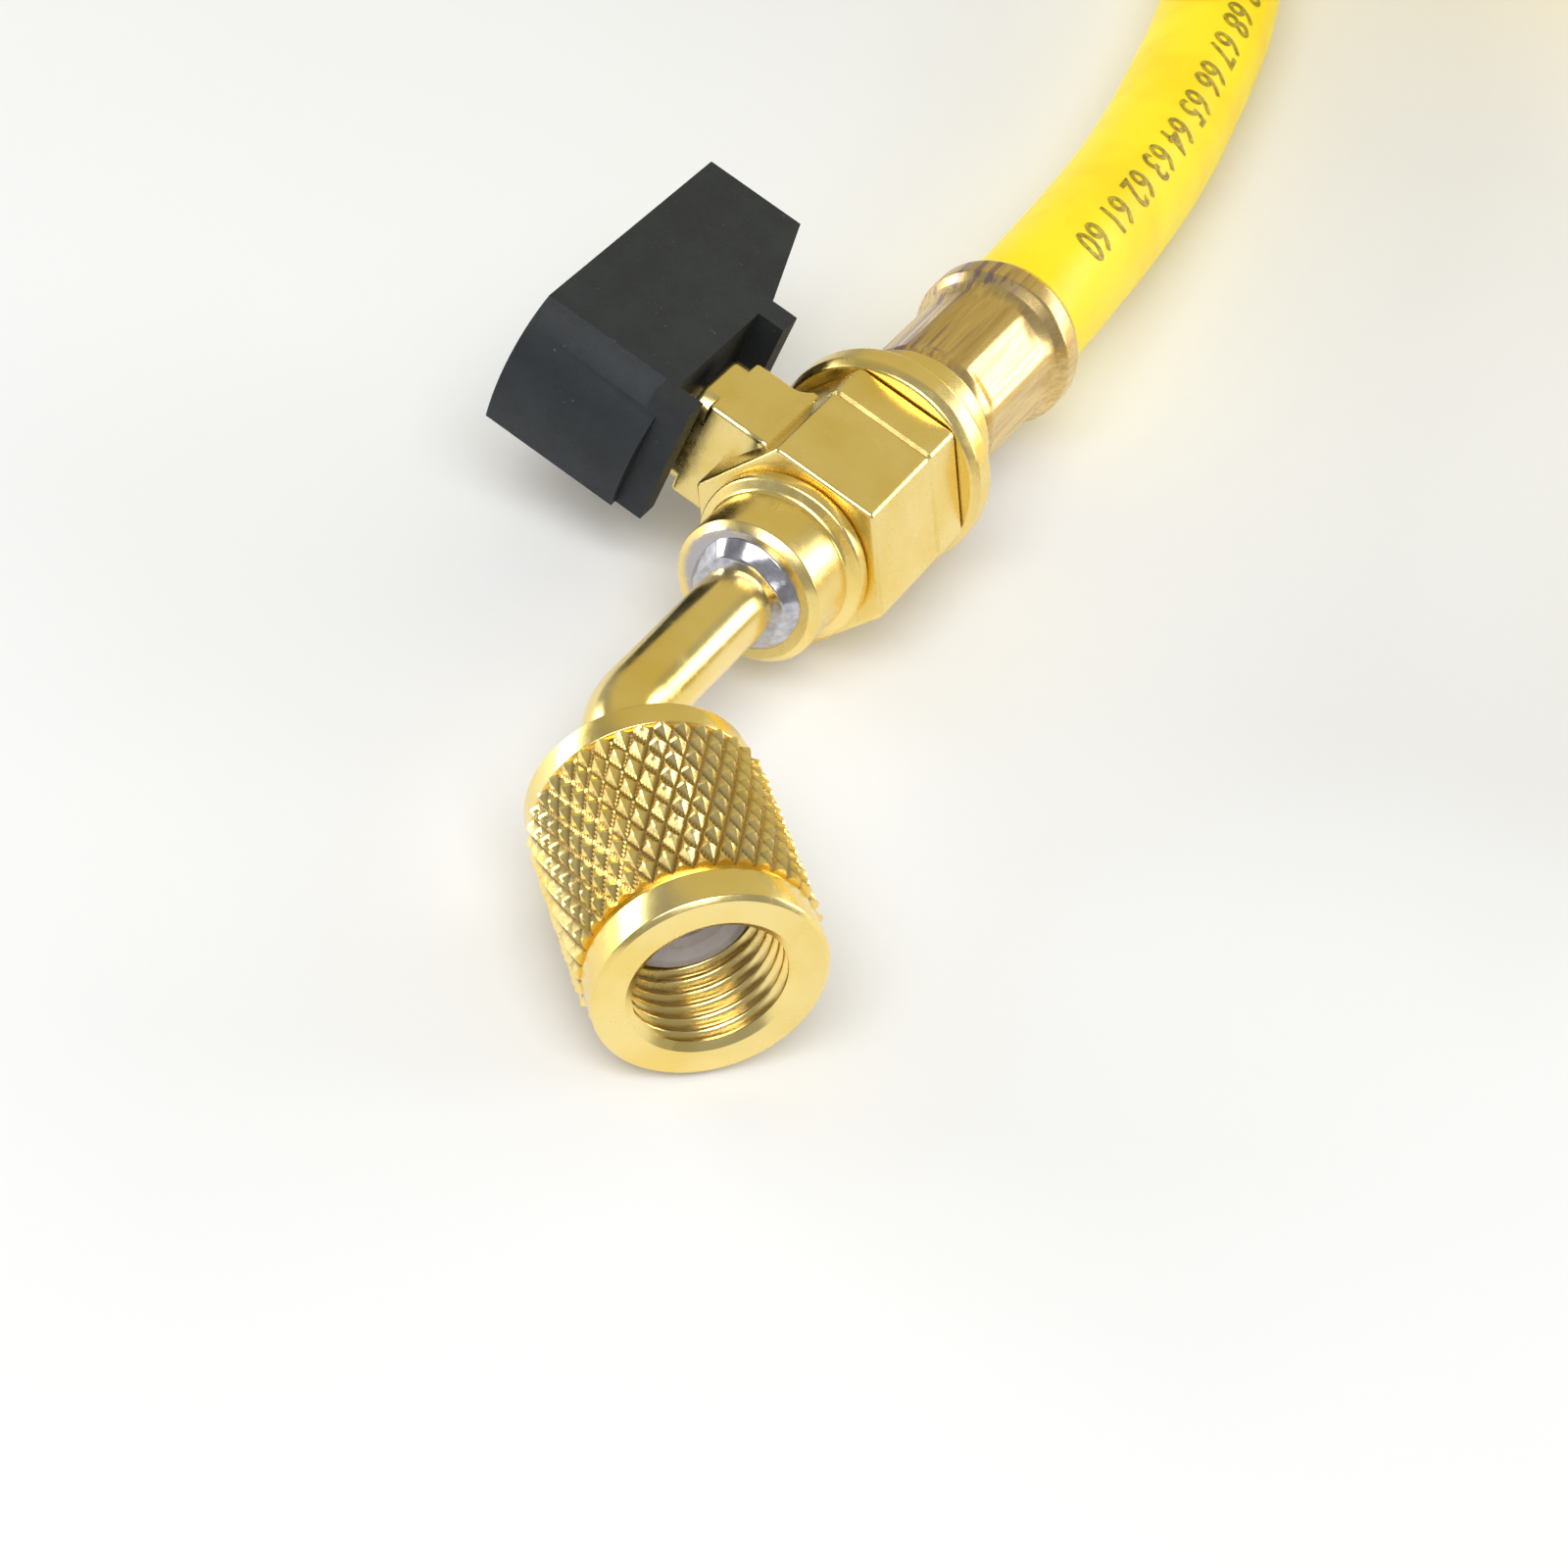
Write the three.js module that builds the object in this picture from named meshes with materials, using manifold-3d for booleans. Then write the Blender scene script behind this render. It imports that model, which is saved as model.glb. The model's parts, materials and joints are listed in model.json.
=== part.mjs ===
// Refrigerant charging hose with a quarter-turn ball valve on its near end.
// Millimetres, +Z up, standing on z = 0. The valve's own axis runs along X, towards the hose.
import * as THREE from "three";
import { mergeVertices } from "three/addons/utils/BufferGeometryUtils.js";
import Module from "manifold-3d";

const wasm = await Module();
wasm.setup();

// Clearances
const GAP = 0.3;

// Copper-alloy tube between the nut and the valve
const TUBE_RADIUS = 3.175;
const TUBE_BORE = 2.1;
const TUBE_BEND = THREE.MathUtils.degToRad(45);
const BEND_RADIUS = 9;
const NUT_LEG = 3.6;
const VALVE_LEG = 16.4;
const SOCKET_DEPTH = 6;

// Swivel nut: knurled grip between two plain bands, with a threaded mouth
const NUT_LENGTH = 20.9;
const KNURL_RADIUS = 9.15;
const NUT_FACE_RADIUS = 8;
const FRONT_BAND = 3.4;
const BACK_BAND = 2.7;
const BAND_RADIUS = 8.7;
const EDGE_BREAK = 0.7;
const MOUTH_RADIUS = 6.35;
const THREAD_RADIUS = 5.95;
const THREAD_DEPTH = 13.5;
const BACK_WALL = 3.4;

// Nipple on the tube's end, which the nut pulls up, and the seal in front of it
const NIPPLE_RADIUS = 5.2;
const SEAL_DEPTH = 7.3;
const SEAL_THICKNESS = 3.4;
const SEAL_BORE = 2.4;

// Solder at the mouth of the socket
const SOLDER_RADIUS = 4.85;
const SOLDER_HEIGHT = 1.3;

// Valve body: round socket with a lip, hexagon, and a boss for the stem
const SOCKET_FACE_RADIUS = 6;
const SOCKET_RADIUS = 6.4;
const SOCKET_CHAMFER = 0.5;
const LIP_START = 5.4;
const LIP_END = 6.9;
const LIP_RADIUS = 7.4;
const HEX_START = 7.3;
const HEX_END = 21.75;
const HEX_FLATS = 16.1;
const HEX_CHAMFER = 0.7;
const SEAM = 17.35;
const SEAM_WIDTH = 0.45;
const SEAM_DEPTH = 0.3;
const FLOW_BORE = 2.4;
const CHAMBER_RADIUS = 5.7;
const BODY_TURN = THREE.MathUtils.degToRad(15);

// Stem boss, seen from the end of the stem
const BOSS_WIDTH = 8.1;
const BOSS_HEIGHT = 9.9;
const BOSS_CORNER = 2.8;
const BOSS_END = 13.4;
const BOSS_BEVEL = 0.6;

// Ball and seats
const BALL_RADIUS = 5.2;
const SEAT_BORE = 2.9;
const SEAT_LENGTH = 1.7;
const SLOT_WIDTH = 2.2;
const SLOT_DEPTH = 1.8;

// Stem
const STEM_RADIUS = 2.2;
const STEM_SCREW_HOLE = 1.35;
const STEM_HOLE_DEPTH = 7;

// Lever, measured from the stem axis along the hose, and outwards along the stem
const LEVER_FRONT = 9.7;
const LEVER_REAR = 20.7;
const LEVER_HEIGHT = 12.1;
const LEVER_WIDTH = 12.8;
const LEVER_FLOAT = 1.1;
const LEVER_TAIL_HEIGHT = 7;
const LEVER_TAPER_LENGTH = 10.5;
const LEVER_TAPER = 3.4;
const STOP_REACH = 2.5;
const STOP_THICKNESS = 2.2;
const REAR_STOP = 7.7;
const REAR_STOP_THICKNESS = 2.4;

// Lever screw
const SCREW_RADIUS = 1.05;
const SCREW_HEAD_RADIUS = 3;
const SCREW_HEAD = 1.8;
const SCREW_LENGTH = 6;
const SCREW_RECESS = 3;

// Tail piece, screwed into the back of the body
const SPIGOT_RADIUS = 5.35;
const COLLAR_RADIUS = 9.55;
const COLLAR_LENGTH = 3.4;
const NECK_RADIUS = 6.9;
const NECK_LENGTH = 3;
const BARB_RADIUS = 3.6;
const BARB_ROOT = 3.1;
const BARB_COUNT = 5;
const TAIL_BORE = 2;

// Crimped ferrule and the hose end inside it
const FERRULE_LENGTH = 17.4;
const FERRULE_RADIUS = 6.45;
const FERRULE_WALL = 0.85;
const CRIMP_FLATS = 12.2;
const CRIMP_SIDES = 8;
const BEAD_RADIUS = 7.4;
const BEAD_LENGTH = 5.2;

// Hose
const HOSE_RADIUS = 6;
const COIL_RADIUS = 61.5;
const COIL_LAYERS = 4;
const HOSE_SIDES = 10;
const HOSE_STEP = 26;

// Route of the hose over the table, from the ferrule's end: along X, along Y, height
const ROUTE = [
  [4, 0.05, 9.5],
  [11.5, 0.65, 8.8],
  [30, 2.6, 7],
  [41, 4.1, 6.3],
  [52, 6.1, 6],
  [70, 10.1, 6],
  [90, 16.7, 6],
  [112, 23.4, 6],
  [135, 29.3, 6],
  [155, 33.4, 6],
];
const COIL_CENTRE = [183.8, -24.8];
const COIL_HEADING = THREE.MathUtils.degToRad(8);
const TAIL_HEADING = THREE.MathUtils.degToRad(177);
const TAIL_ROUTE = [
  [46, 35.5],
  [60, 31.4],
  [80, 23.7],
  [100, 16.2],
  [120, 11],
  [133, 9.5],
];
const TAIL_LENGTH = 145;
const TAIL_DIP = 4.7;

const AROUND = 32;

// Materials
const brass = new THREE.MeshStandardMaterial({ color: 0xd9b84a, roughness: 0.22, metalness: 1 });
const dullBrass = new THREE.MeshStandardMaterial({ color: 0xb8954a, roughness: 0.4, metalness: 1 });
const solder = new THREE.MeshStandardMaterial({ color: 0xc9cbd0, roughness: 0.35, metalness: 1 });
const yellowRubber = new THREE.MeshStandardMaterial({ color: 0xffe52e, roughness: 0.45 });
const blackPlastic = new THREE.MeshStandardMaterial({ color: 0x25282c, roughness: 0.7 });
const whitePlastic = new THREE.MeshStandardMaterial({ color: 0xe9e9ea, roughness: 0.5 });
const steel = new THREE.MeshStandardMaterial({ color: 0xb9bcc0, roughness: 0.3, metalness: 1 });

// A solid of revolution about +X: points are [place along X, radius], from axis to axis.
function turned(points, segments = AROUND) {
  let area = 0;
  points.forEach(([x, r], i) => {
    const [nextX, nextR] = points[(i + 1) % points.length];
    area += x * nextR - nextX * r;
  });
  const facingOut = area < 0 ? points : [...points].reverse();
  const profile = facingOut.map(([x, r]) => new THREE.Vector2(r, x));
  return new THREE.LatheGeometry(profile, segments).rotateZ(-Math.PI / 2);
}

// A ring about +X from its closed section.
function ring(points, segments = AROUND) {
  return turned([...points, points[0]], segments);
}

// A flat outline pushed along its own normal, from one depth to another.
function pushed(shape, from, to, curveSegments = 8) {
  const settings = { depth: to - from, bevelEnabled: false, curveSegments };
  return new THREE.ExtrudeGeometry(shape, settings).translate(0, 0, from);
}

function solidOf(geometry) {
  const bare = new THREE.BufferGeometry();
  const loose = geometry.index ? geometry.toNonIndexed() : geometry;
  bare.setAttribute("position", loose.getAttribute("position"));
  const merged = mergeVertices(bare, 1e-4);
  const mesh = new wasm.Mesh({
    numProp: 3,
    vertProperties: merged.attributes.position.array,
    triVerts: new Uint32Array(merged.index.array),
  });
  return new wasm.Manifold(mesh);
}

function geometryOf(solid) {
  const mesh = solid.getMesh();
  const geometry = new THREE.BufferGeometry();
  geometry.setAttribute("position", new THREE.BufferAttribute(mesh.vertProperties, 3));
  geometry.setIndex(new THREE.BufferAttribute(mesh.triVerts, 1));
  const flat = geometry.toNonIndexed();
  flat.computeVertexNormals();
  return flat;
}

function named(name, geometry, material) {
  const mesh = new THREE.Mesh(geometry, material);
  mesh.name = name;
  return mesh;
}

function roundedRectangle(width, height, corner) {
  const x = width / 2;
  const y = height / 2;
  const shape = new THREE.Shape();
  shape.moveTo(-x + corner, -y);
  shape.lineTo(x - corner, -y);
  shape.absarc(x - corner, -y + corner, corner, -Math.PI / 2, 0);
  shape.lineTo(x, y - corner);
  shape.absarc(x - corner, y - corner, corner, 0, Math.PI / 2);
  shape.lineTo(-x + corner, y);
  shape.absarc(-x + corner, y - corner, corner, Math.PI / 2, Math.PI);
  shape.lineTo(-x, -y + corner);
  shape.absarc(-x + corner, -y + corner, corner, Math.PI, 1.5 * Math.PI);
  return shape;
}

function polygon(flats, sides) {
  const corner = flats / 2 / Math.cos(Math.PI / sides);
  const shape = new THREE.Shape();
  for (let i = 0; i < sides; i++) {
    const angle = ((i + 0.5) * 2 * Math.PI) / sides + Math.PI / 2;
    const point = [corner * Math.cos(angle), corner * Math.sin(angle)];
    if (i === 0) shape.moveTo(...point);
    else shape.lineTo(...point);
  }
  shape.closePath();
  return shape;
}

// Knurled swivel nut with its mouth at x = 0 and its back at NUT_LENGTH.
function nutGeometry() {
  const grip = KNURL_RADIUS;
  const wallBore = TUBE_RADIUS + GAP;
  const chamfer = MOUTH_RADIUS - THREAD_RADIUS;
  return ring([
    [0, MOUTH_RADIUS],
    [chamfer, THREAD_RADIUS],
    [THREAD_DEPTH, THREAD_RADIUS],
    [THREAD_DEPTH, NIPPLE_RADIUS + GAP],
    [NUT_LENGTH - BACK_WALL, NIPPLE_RADIUS + GAP],
    [NUT_LENGTH - BACK_WALL, wallBore],
    [NUT_LENGTH, wallBore],
    [NUT_LENGTH, NUT_FACE_RADIUS],
    [NUT_LENGTH - EDGE_BREAK, BAND_RADIUS],
    [NUT_LENGTH - BACK_BAND, BAND_RADIUS],
    [NUT_LENGTH - BACK_BAND, grip],
    [FRONT_BAND, grip],
    [FRONT_BAND, BAND_RADIUS],
    [EDGE_BREAK, BAND_RADIUS],
    [0, NUT_FACE_RADIUS],
  ], 40);
}

// Flat ring seal, lying against the nipple inside the nut.
function sealGeometry() {
  const back = SEAL_DEPTH + SEAL_THICKNESS;
  const inner = SEAL_BORE;
  return ring([
    [SEAL_DEPTH, inner],
    [back, inner],
    [back, NIPPLE_RADIUS],
    [SEAL_DEPTH + GAP, NIPPLE_RADIUS],
    [SEAL_DEPTH, NIPPLE_RADIUS - GAP],
  ]);
}

// Head of the nipple that the nut's back wall pulls on, along X, hollow.
function nippleGeometry(bore) {
  const front = SEAL_DEPTH + SEAL_THICKNESS + GAP;
  const back = NUT_LENGTH - BACK_WALL - GAP;
  return ring([
    [front, bore],
    [back, bore],
    [back, NIPPLE_RADIUS],
    [front, NIPPLE_RADIUS],
  ]);
}

// Where the tube runs: along -X from the socket, then bent towards the nut.
const axisHeight = COLLAR_RADIUS;
const lateral = BEND_RADIUS * (1 - Math.cos(TUBE_BEND))
  + (NUT_LEG + NUT_LENGTH) * Math.sin(TUBE_BEND);
const sideDip = Math.asin((axisHeight - KNURL_RADIUS) / lateral);
const side = new THREE.Vector3(0, -Math.cos(sideDip), -Math.sin(sideDip));
const along = new THREE.Vector3(1, 0, 0);
const mouthWay = along.clone().multiplyScalar(-Math.cos(TUBE_BEND))
  .addScaledVector(side, Math.sin(TUBE_BEND));
const socketFace = new THREE.Vector3(0, 0, axisHeight);
const bendStart = socketFace.clone().addScaledVector(along, -VALVE_LEG);
const bendCentre = bendStart.clone().addScaledVector(side, BEND_RADIUS);
const bendPoint = (angle) => bendCentre.clone()
  .addScaledVector(side, -BEND_RADIUS * Math.cos(angle))
  .addScaledVector(along, -BEND_RADIUS * Math.sin(angle));
const bendEnd = bendPoint(TUBE_BEND);
const nutBack = bendEnd.clone().addScaledVector(mouthWay, NUT_LEG);
const nutMouth = nutBack.clone().addScaledVector(mouthWay, NUT_LENGTH);

// Turns a piece made along +X so that its x = 0 sits at a place and +X points along a way.
function laidAlong(geometry, place, way) {
  const turn = new THREE.Quaternion().setFromUnitVectors(new THREE.Vector3(1, 0, 0), way);
  return geometry.applyQuaternion(turn).translate(place.x, place.y, place.z);
}

const backWay = mouthWay.clone().negate();
const nut = named("swivel_nut", laidAlong(nutGeometry(), nutMouth, backWay), brass);
const seal = named("nut_seal", laidAlong(sealGeometry(), nutMouth, backWay), whitePlastic);

// Bent tube, one piece with its nipple head
class TubeLine extends THREE.Curve {
  constructor(start, end) {
    super();
    this.start = start;
    this.end = end;
    this.legs = [start.distanceTo(bendEnd), BEND_RADIUS * TUBE_BEND, bendStart.distanceTo(end)];
    this.total = this.legs[0] + this.legs[1] + this.legs[2];
  }

  getPoint(t, target = new THREE.Vector3()) {
    const way = t * this.total;
    if (way < this.legs[0]) return target.copy(this.start).lerp(bendEnd, way / this.legs[0]);
    const round = way - this.legs[0];
    if (round < this.legs[1]) return target.copy(bendPoint(TUBE_BEND - round / BEND_RADIUS));
    const last = round - this.legs[1];
    return target.copy(bendStart).lerp(this.end, last / this.legs[2]);
  }
}

const nippleFront = SEAL_DEPTH + SEAL_THICKNESS + GAP;
const tubeStart = nutMouth.clone().addScaledVector(backWay, nippleFront + 1);
const tubeEnd = socketFace.clone().addScaledVector(along, SOCKET_DEPTH - GAP);
const tubeSection = new THREE.Shape().absarc(0, 0, TUBE_RADIUS, 0, 2 * Math.PI);
tubeSection.holes.push(new THREE.Path().absarc(0, 0, TUBE_BORE, 0, 2 * Math.PI, true));
const tubeRun = new THREE.ExtrudeGeometry(tubeSection, {
  steps: 30,
  curveSegments: 9,
  extrudePath: new TubeLine(tubeStart, tubeEnd),
});
const nippleHead = laidAlong(nippleGeometry(TUBE_BORE), nutMouth, backWay);
const tube = named(
  "bent_tube",
  geometryOf(solidOf(tubeRun).add(solidOf(nippleHead))),
  brass,
);

// Solder fillet round the tube on the socket's face
const solderRing = ring([
  [-SOLDER_HEIGHT, TUBE_RADIUS + GAP],
  [-GAP / 2, TUBE_RADIUS + GAP],
  [-GAP / 2, SOLDER_RADIUS],
  [-SOLDER_HEIGHT * 0.55, SOLDER_RADIUS - 0.25],
  [-SOLDER_HEIGHT, TUBE_RADIUS + 2 * GAP],
]);
const solderBead = named("solder_ring", laidAlong(solderRing, socketFace, along), solder);

// Valve body, made upright about the X axis and then turned to lie as it does
const ballPlace = (HEX_START + HEX_END) / 2;
const chamberFront = ballPlace - BALL_RADIUS;
const boreFront = turned([
  [-1, 0],
  [-1, TUBE_RADIUS + GAP],
  [SOCKET_DEPTH, TUBE_RADIUS + GAP],
  [SOCKET_DEPTH, FLOW_BORE],
  [chamberFront, FLOW_BORE],
  [chamberFront, CHAMBER_RADIUS],
  [HEX_END + 1, CHAMBER_RADIUS],
  [HEX_END + 1, 0],
]);
const socketPart = turned([
  [0, 0],
  [0, SOCKET_FACE_RADIUS],
  [SOCKET_CHAMFER, SOCKET_RADIUS],
  [LIP_START - 1, SOCKET_RADIUS],
  [LIP_START, SOCKET_RADIUS + 0.35],
  [(LIP_START + LIP_END) / 2, LIP_RADIUS],
  [LIP_END, LIP_RADIUS - 0.2],
  [LIP_END, SOCKET_RADIUS],
  [HEX_START + 1, SOCKET_RADIUS],
  [HEX_START + 1, 0],
]);
const hexCorner = HEX_FLATS / Math.sqrt(3);
const hexTurned = turned([
  [HEX_START, 0],
  [HEX_START, hexCorner - HEX_CHAMFER],
  [HEX_START + HEX_CHAMFER / 2, hexCorner + 0.1],
  [HEX_END, hexCorner + 0.1],
  [HEX_END, 0],
], 48);
const toX = (geometry) => geometry.rotateY(Math.PI / 2).rotateX(Math.PI / 2);
const hexPrism = toX(pushed(polygon(HEX_FLATS, 6), HEX_START, HEX_END));
const seamOuter = toX(pushed(polygon(HEX_FLATS + 2, 6), SEAM - SEAM_WIDTH / 2, SEAM + SEAM_WIDTH / 2));
const seamInner = toX(pushed(polygon(HEX_FLATS - 2 * SEAM_DEPTH, 6), SEAM - 1, SEAM + 1));
const seamRing = solidOf(seamOuter).subtract(solidOf(seamInner));

// The stem's way out is +Y here.
const bossOutline = roundedRectangle(BOSS_WIDTH, BOSS_HEIGHT, BOSS_CORNER);
const bossPush = new THREE.ExtrudeGeometry(bossOutline, {
  depth: BOSS_END - BOSS_BEVEL - CHAMBER_RADIUS,
  bevelSize: BOSS_BEVEL,
  bevelThickness: BOSS_BEVEL,
  bevelOffset: -BOSS_BEVEL,
  bevelSegments: 2,
  curveSegments: 6,
});
const stemFrame = new THREE.Matrix4().makeBasis(
  new THREE.Vector3(-1, 0, 0),
  new THREE.Vector3(0, 0, 1),
  new THREE.Vector3(0, 1, 0),
).setPosition(ballPlace, 0, 0);
const boss = bossPush.translate(0, 0, CHAMBER_RADIUS).applyMatrix4(stemFrame);
const stemBore = new THREE.CylinderGeometry(STEM_RADIUS + GAP, STEM_RADIUS + GAP, 3 * BOSS_END, 32)
  .translate(ballPlace, 1.5 * BOSS_END, 0);
const bodySolid = solidOf(hexPrism)
  .intersect(solidOf(hexTurned))
  .subtract(seamRing)
  .add(solidOf(boss))
  .add(solidOf(socketPart))
  .subtract(solidOf(boreFront))
  .subtract(solidOf(stemBore));

const onAxis = (geometry) => geometry.rotateX(BODY_TURN).translate(0, 0, axisHeight);
const body = named("valve_body", onAxis(geometryOf(bodySolid)), brass);

// Ball with its flow hole and the slot that the stem turns it by
const ballShape = new THREE.SphereGeometry(BALL_RADIUS, 28, 16).translate(ballPlace, 0, 0);
const ballHole = new THREE.CylinderGeometry(FLOW_BORE, FLOW_BORE, 4 * BALL_RADIUS, 32)
  .rotateZ(Math.PI / 2).translate(ballPlace, 0, 0);
const slotFloor = BALL_RADIUS - SLOT_DEPTH;
const ballSlot = new THREE.BoxGeometry(2 * BALL_RADIUS, 2 * SLOT_DEPTH, SLOT_WIDTH)
  .translate(ballPlace, BALL_RADIUS, 0);
const ballSolid = solidOf(ballShape).subtract(solidOf(ballHole)).subtract(solidOf(ballSlot));
const ball = named("ball", onAxis(geometryOf(ballSolid)), steel);

// Seat rings, hollowed to the ball
function seatGeometry(way) {
  const clear = BALL_RADIUS + GAP;
  const back = -BALL_RADIUS + GAP;
  const face = (radius) => -Math.sqrt(clear * clear - radius * radius);
  const outer = CHAMBER_RADIUS - GAP;
  const lip = Math.sqrt(clear * clear - (back + SEAT_LENGTH) ** 2);
  const points = [[back, SEAT_BORE]];
  for (let i = 0; i <= 4; i++) {
    const radius = SEAT_BORE + ((lip - SEAT_BORE) * i) / 4;
    points.push([face(radius), radius]);
  }
  points.push([back + SEAT_LENGTH, outer], [back, outer]);
  const geometry = ring(points);
  if (way < 0) geometry.rotateY(Math.PI);
  return geometry.translate(ballPlace, 0, 0);
}
const frontSeat = named("front_seat", onAxis(seatGeometry(1)), whitePlastic);
const rearSeat = named("rear_seat", onAxis(seatGeometry(-1)), whitePlastic);

// Stem: a tang in the ball's slot, a round shank and a threaded hole for the screw
const leverInner = BOSS_END + LEVER_FLOAT;
const leverOuter = leverInner + LEVER_WIDTH;
const stemEnd = leverOuter - SCREW_RECESS - GAP;
const tangLength = BALL_RADIUS + 0.6 - slotFloor;
const tang = new THREE.BoxGeometry(2 * STEM_RADIUS * 0.8, tangLength, SLOT_WIDTH - 2 * GAP)
  .translate(ballPlace, slotFloor + GAP + tangLength / 2, 0);
const shankStart = BALL_RADIUS + GAP;
const shank = new THREE.CylinderGeometry(STEM_RADIUS, STEM_RADIUS, stemEnd - shankStart, 32)
  .translate(ballPlace, (stemEnd + shankStart) / 2, 0);
const stemHole = new THREE.CylinderGeometry(
  STEM_SCREW_HOLE,
  STEM_SCREW_HOLE,
  2 * STEM_HOLE_DEPTH,
  24,
).translate(ballPlace, stemEnd, 0);
const stemSolid = solidOf(tang).add(solidOf(shank)).subtract(solidOf(stemHole));
const stem = named("valve_stem", onAxis(geometryOf(stemSolid)), brass);

// Lever: outline along the hose and up, pushed outwards along the stem
const leverTop = LEVER_HEIGHT / 2;
const leverSide = new THREE.Shape();
leverSide.moveTo(LEVER_REAR, leverTop);
leverSide.lineTo(-LEVER_FRONT + 4, leverTop);
leverSide.bezierCurveTo(
  -LEVER_FRONT + 1.4,
  leverTop - 1.6,
  -LEVER_FRONT - 0.6,
  0.6,
  -LEVER_FRONT + 1.2,
  -leverTop,
);
leverSide.lineTo(leverTop, -leverTop);
leverSide.lineTo(LEVER_REAR, leverTop - LEVER_TAIL_HEIGHT);
leverSide.closePath();
const toLever = (geometry) => geometry.applyMatrix4(
  new THREE.Matrix4().makeBasis(
    new THREE.Vector3(1, 0, 0),
    new THREE.Vector3(0, 0, 1),
    new THREE.Vector3(0, -1, 0),
  ).setPosition(ballPlace, 0, 0),
);
const leverBlock = toLever(pushed(leverSide, -leverOuter, -leverInner, 10));
const stopBlock = (from, to) => new THREE.BoxGeometry(to - from, STOP_REACH + 1, LEVER_HEIGHT)
  .translate(ballPlace + (from + to) / 2, leverInner - (STOP_REACH - 1) / 2, 0);
const stopFace = Math.hypot(BOSS_WIDTH / 2 - BOSS_CORNER, BOSS_HEIGHT / 2 - BOSS_CORNER)
  + BOSS_CORNER + GAP;
const frontStop = stopBlock(-stopFace - STOP_THICKNESS, -stopFace);
const rearStop = stopBlock(REAR_STOP, REAR_STOP + REAR_STOP_THICKNESS);
const taperShape = new THREE.Shape([
  new THREE.Vector2(LEVER_REAR - LEVER_TAPER_LENGTH, -1),
  new THREE.Vector2(LEVER_REAR + LEVER_TAPER_LENGTH, -1),
  new THREE.Vector2(LEVER_REAR + LEVER_TAPER_LENGTH, 2 * LEVER_TAPER),
  new THREE.Vector2(LEVER_REAR - LEVER_TAPER_LENGTH, 0),
]);
const taperCut = pushed(taperShape, -LEVER_HEIGHT, LEVER_HEIGHT)
  .translate(ballPlace, leverInner, 0);
const leverBore = new THREE.CylinderGeometry(STEM_RADIUS + GAP, STEM_RADIUS + GAP, 80, 32)
  .translate(ballPlace, 40, 0);
const screwRecess = new THREE.CylinderGeometry(
  SCREW_HEAD_RADIUS + GAP,
  SCREW_HEAD_RADIUS + GAP,
  2 * SCREW_RECESS,
  32,
).translate(ballPlace, leverOuter, 0);
const leverSolid = solidOf(leverBlock)
  .subtract(solidOf(taperCut))
  .add(solidOf(frontStop))
  .add(solidOf(rearStop))
  .subtract(solidOf(leverBore))
  .subtract(solidOf(screwRecess));
const lever = named("lever", onAxis(geometryOf(leverSolid)), blackPlastic);

// Screw that holds the lever on the stem
const screwProfile = turned([
  [-SCREW_LENGTH, 0],
  [-SCREW_LENGTH, SCREW_RADIUS],
  [GAP, SCREW_RADIUS],
  [GAP, SCREW_HEAD_RADIUS],
  [GAP + SCREW_HEAD * 0.6, SCREW_HEAD_RADIUS],
  [GAP + SCREW_HEAD, SCREW_HEAD_RADIUS * 0.7],
  [GAP + SCREW_HEAD, 0],
], 32);
const screwGeometry = screwProfile.rotateZ(Math.PI / 2).translate(ballPlace, stemEnd, 0);
const screw = named("lever_screw", onAxis(screwGeometry), steel);

// Tail: neck, then barbs inside the hose; x = 0 where the neck starts
const barbPitch = (FERRULE_LENGTH - BEAD_LENGTH) / BARB_COUNT;
function barbPoints(start) {
  const points = [];
  for (let i = 0; i < BARB_COUNT; i++) {
    const x = start + i * barbPitch;
    points.push([x, BARB_ROOT], [x + 0.6, BARB_RADIUS], [x + barbPitch * 0.8, BARB_ROOT]);
  }
  return points;
}
const collarStart = HEX_END + GAP / 2;
const collarEnd = collarStart + COLLAR_LENGTH;
const neckEnd = collarEnd + 1.6 + NECK_LENGTH;
const barbEnd = neckEnd + GAP + FERRULE_LENGTH - BEAD_LENGTH;
const tailOuter = [
  [ballPlace + BALL_RADIUS, SPIGOT_RADIUS],
  [collarStart, SPIGOT_RADIUS],
  [collarStart, COLLAR_RADIUS - 0.8],
  [collarStart + 0.4, COLLAR_RADIUS - 0.25],
  [collarStart + 1.1, COLLAR_RADIUS],
  [collarEnd - 0.9, COLLAR_RADIUS],
  [collarEnd - 0.1, COLLAR_RADIUS - 0.5],
  [collarEnd + 0.9, NECK_RADIUS + 0.9],
  [collarEnd + 1.6, NECK_RADIUS],
  [neckEnd, NECK_RADIUS],
  ...barbPoints(neckEnd),
  [barbEnd, BARB_ROOT],
];
const tailBore = [[barbEnd, TAIL_BORE], [ballPlace + BALL_RADIUS, TAIL_BORE]];
const tail = named(
  "tail_piece",
  laidAlong(ring([...tailOuter, ...tailBore]), socketFace, along),
  brass,
);

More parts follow.
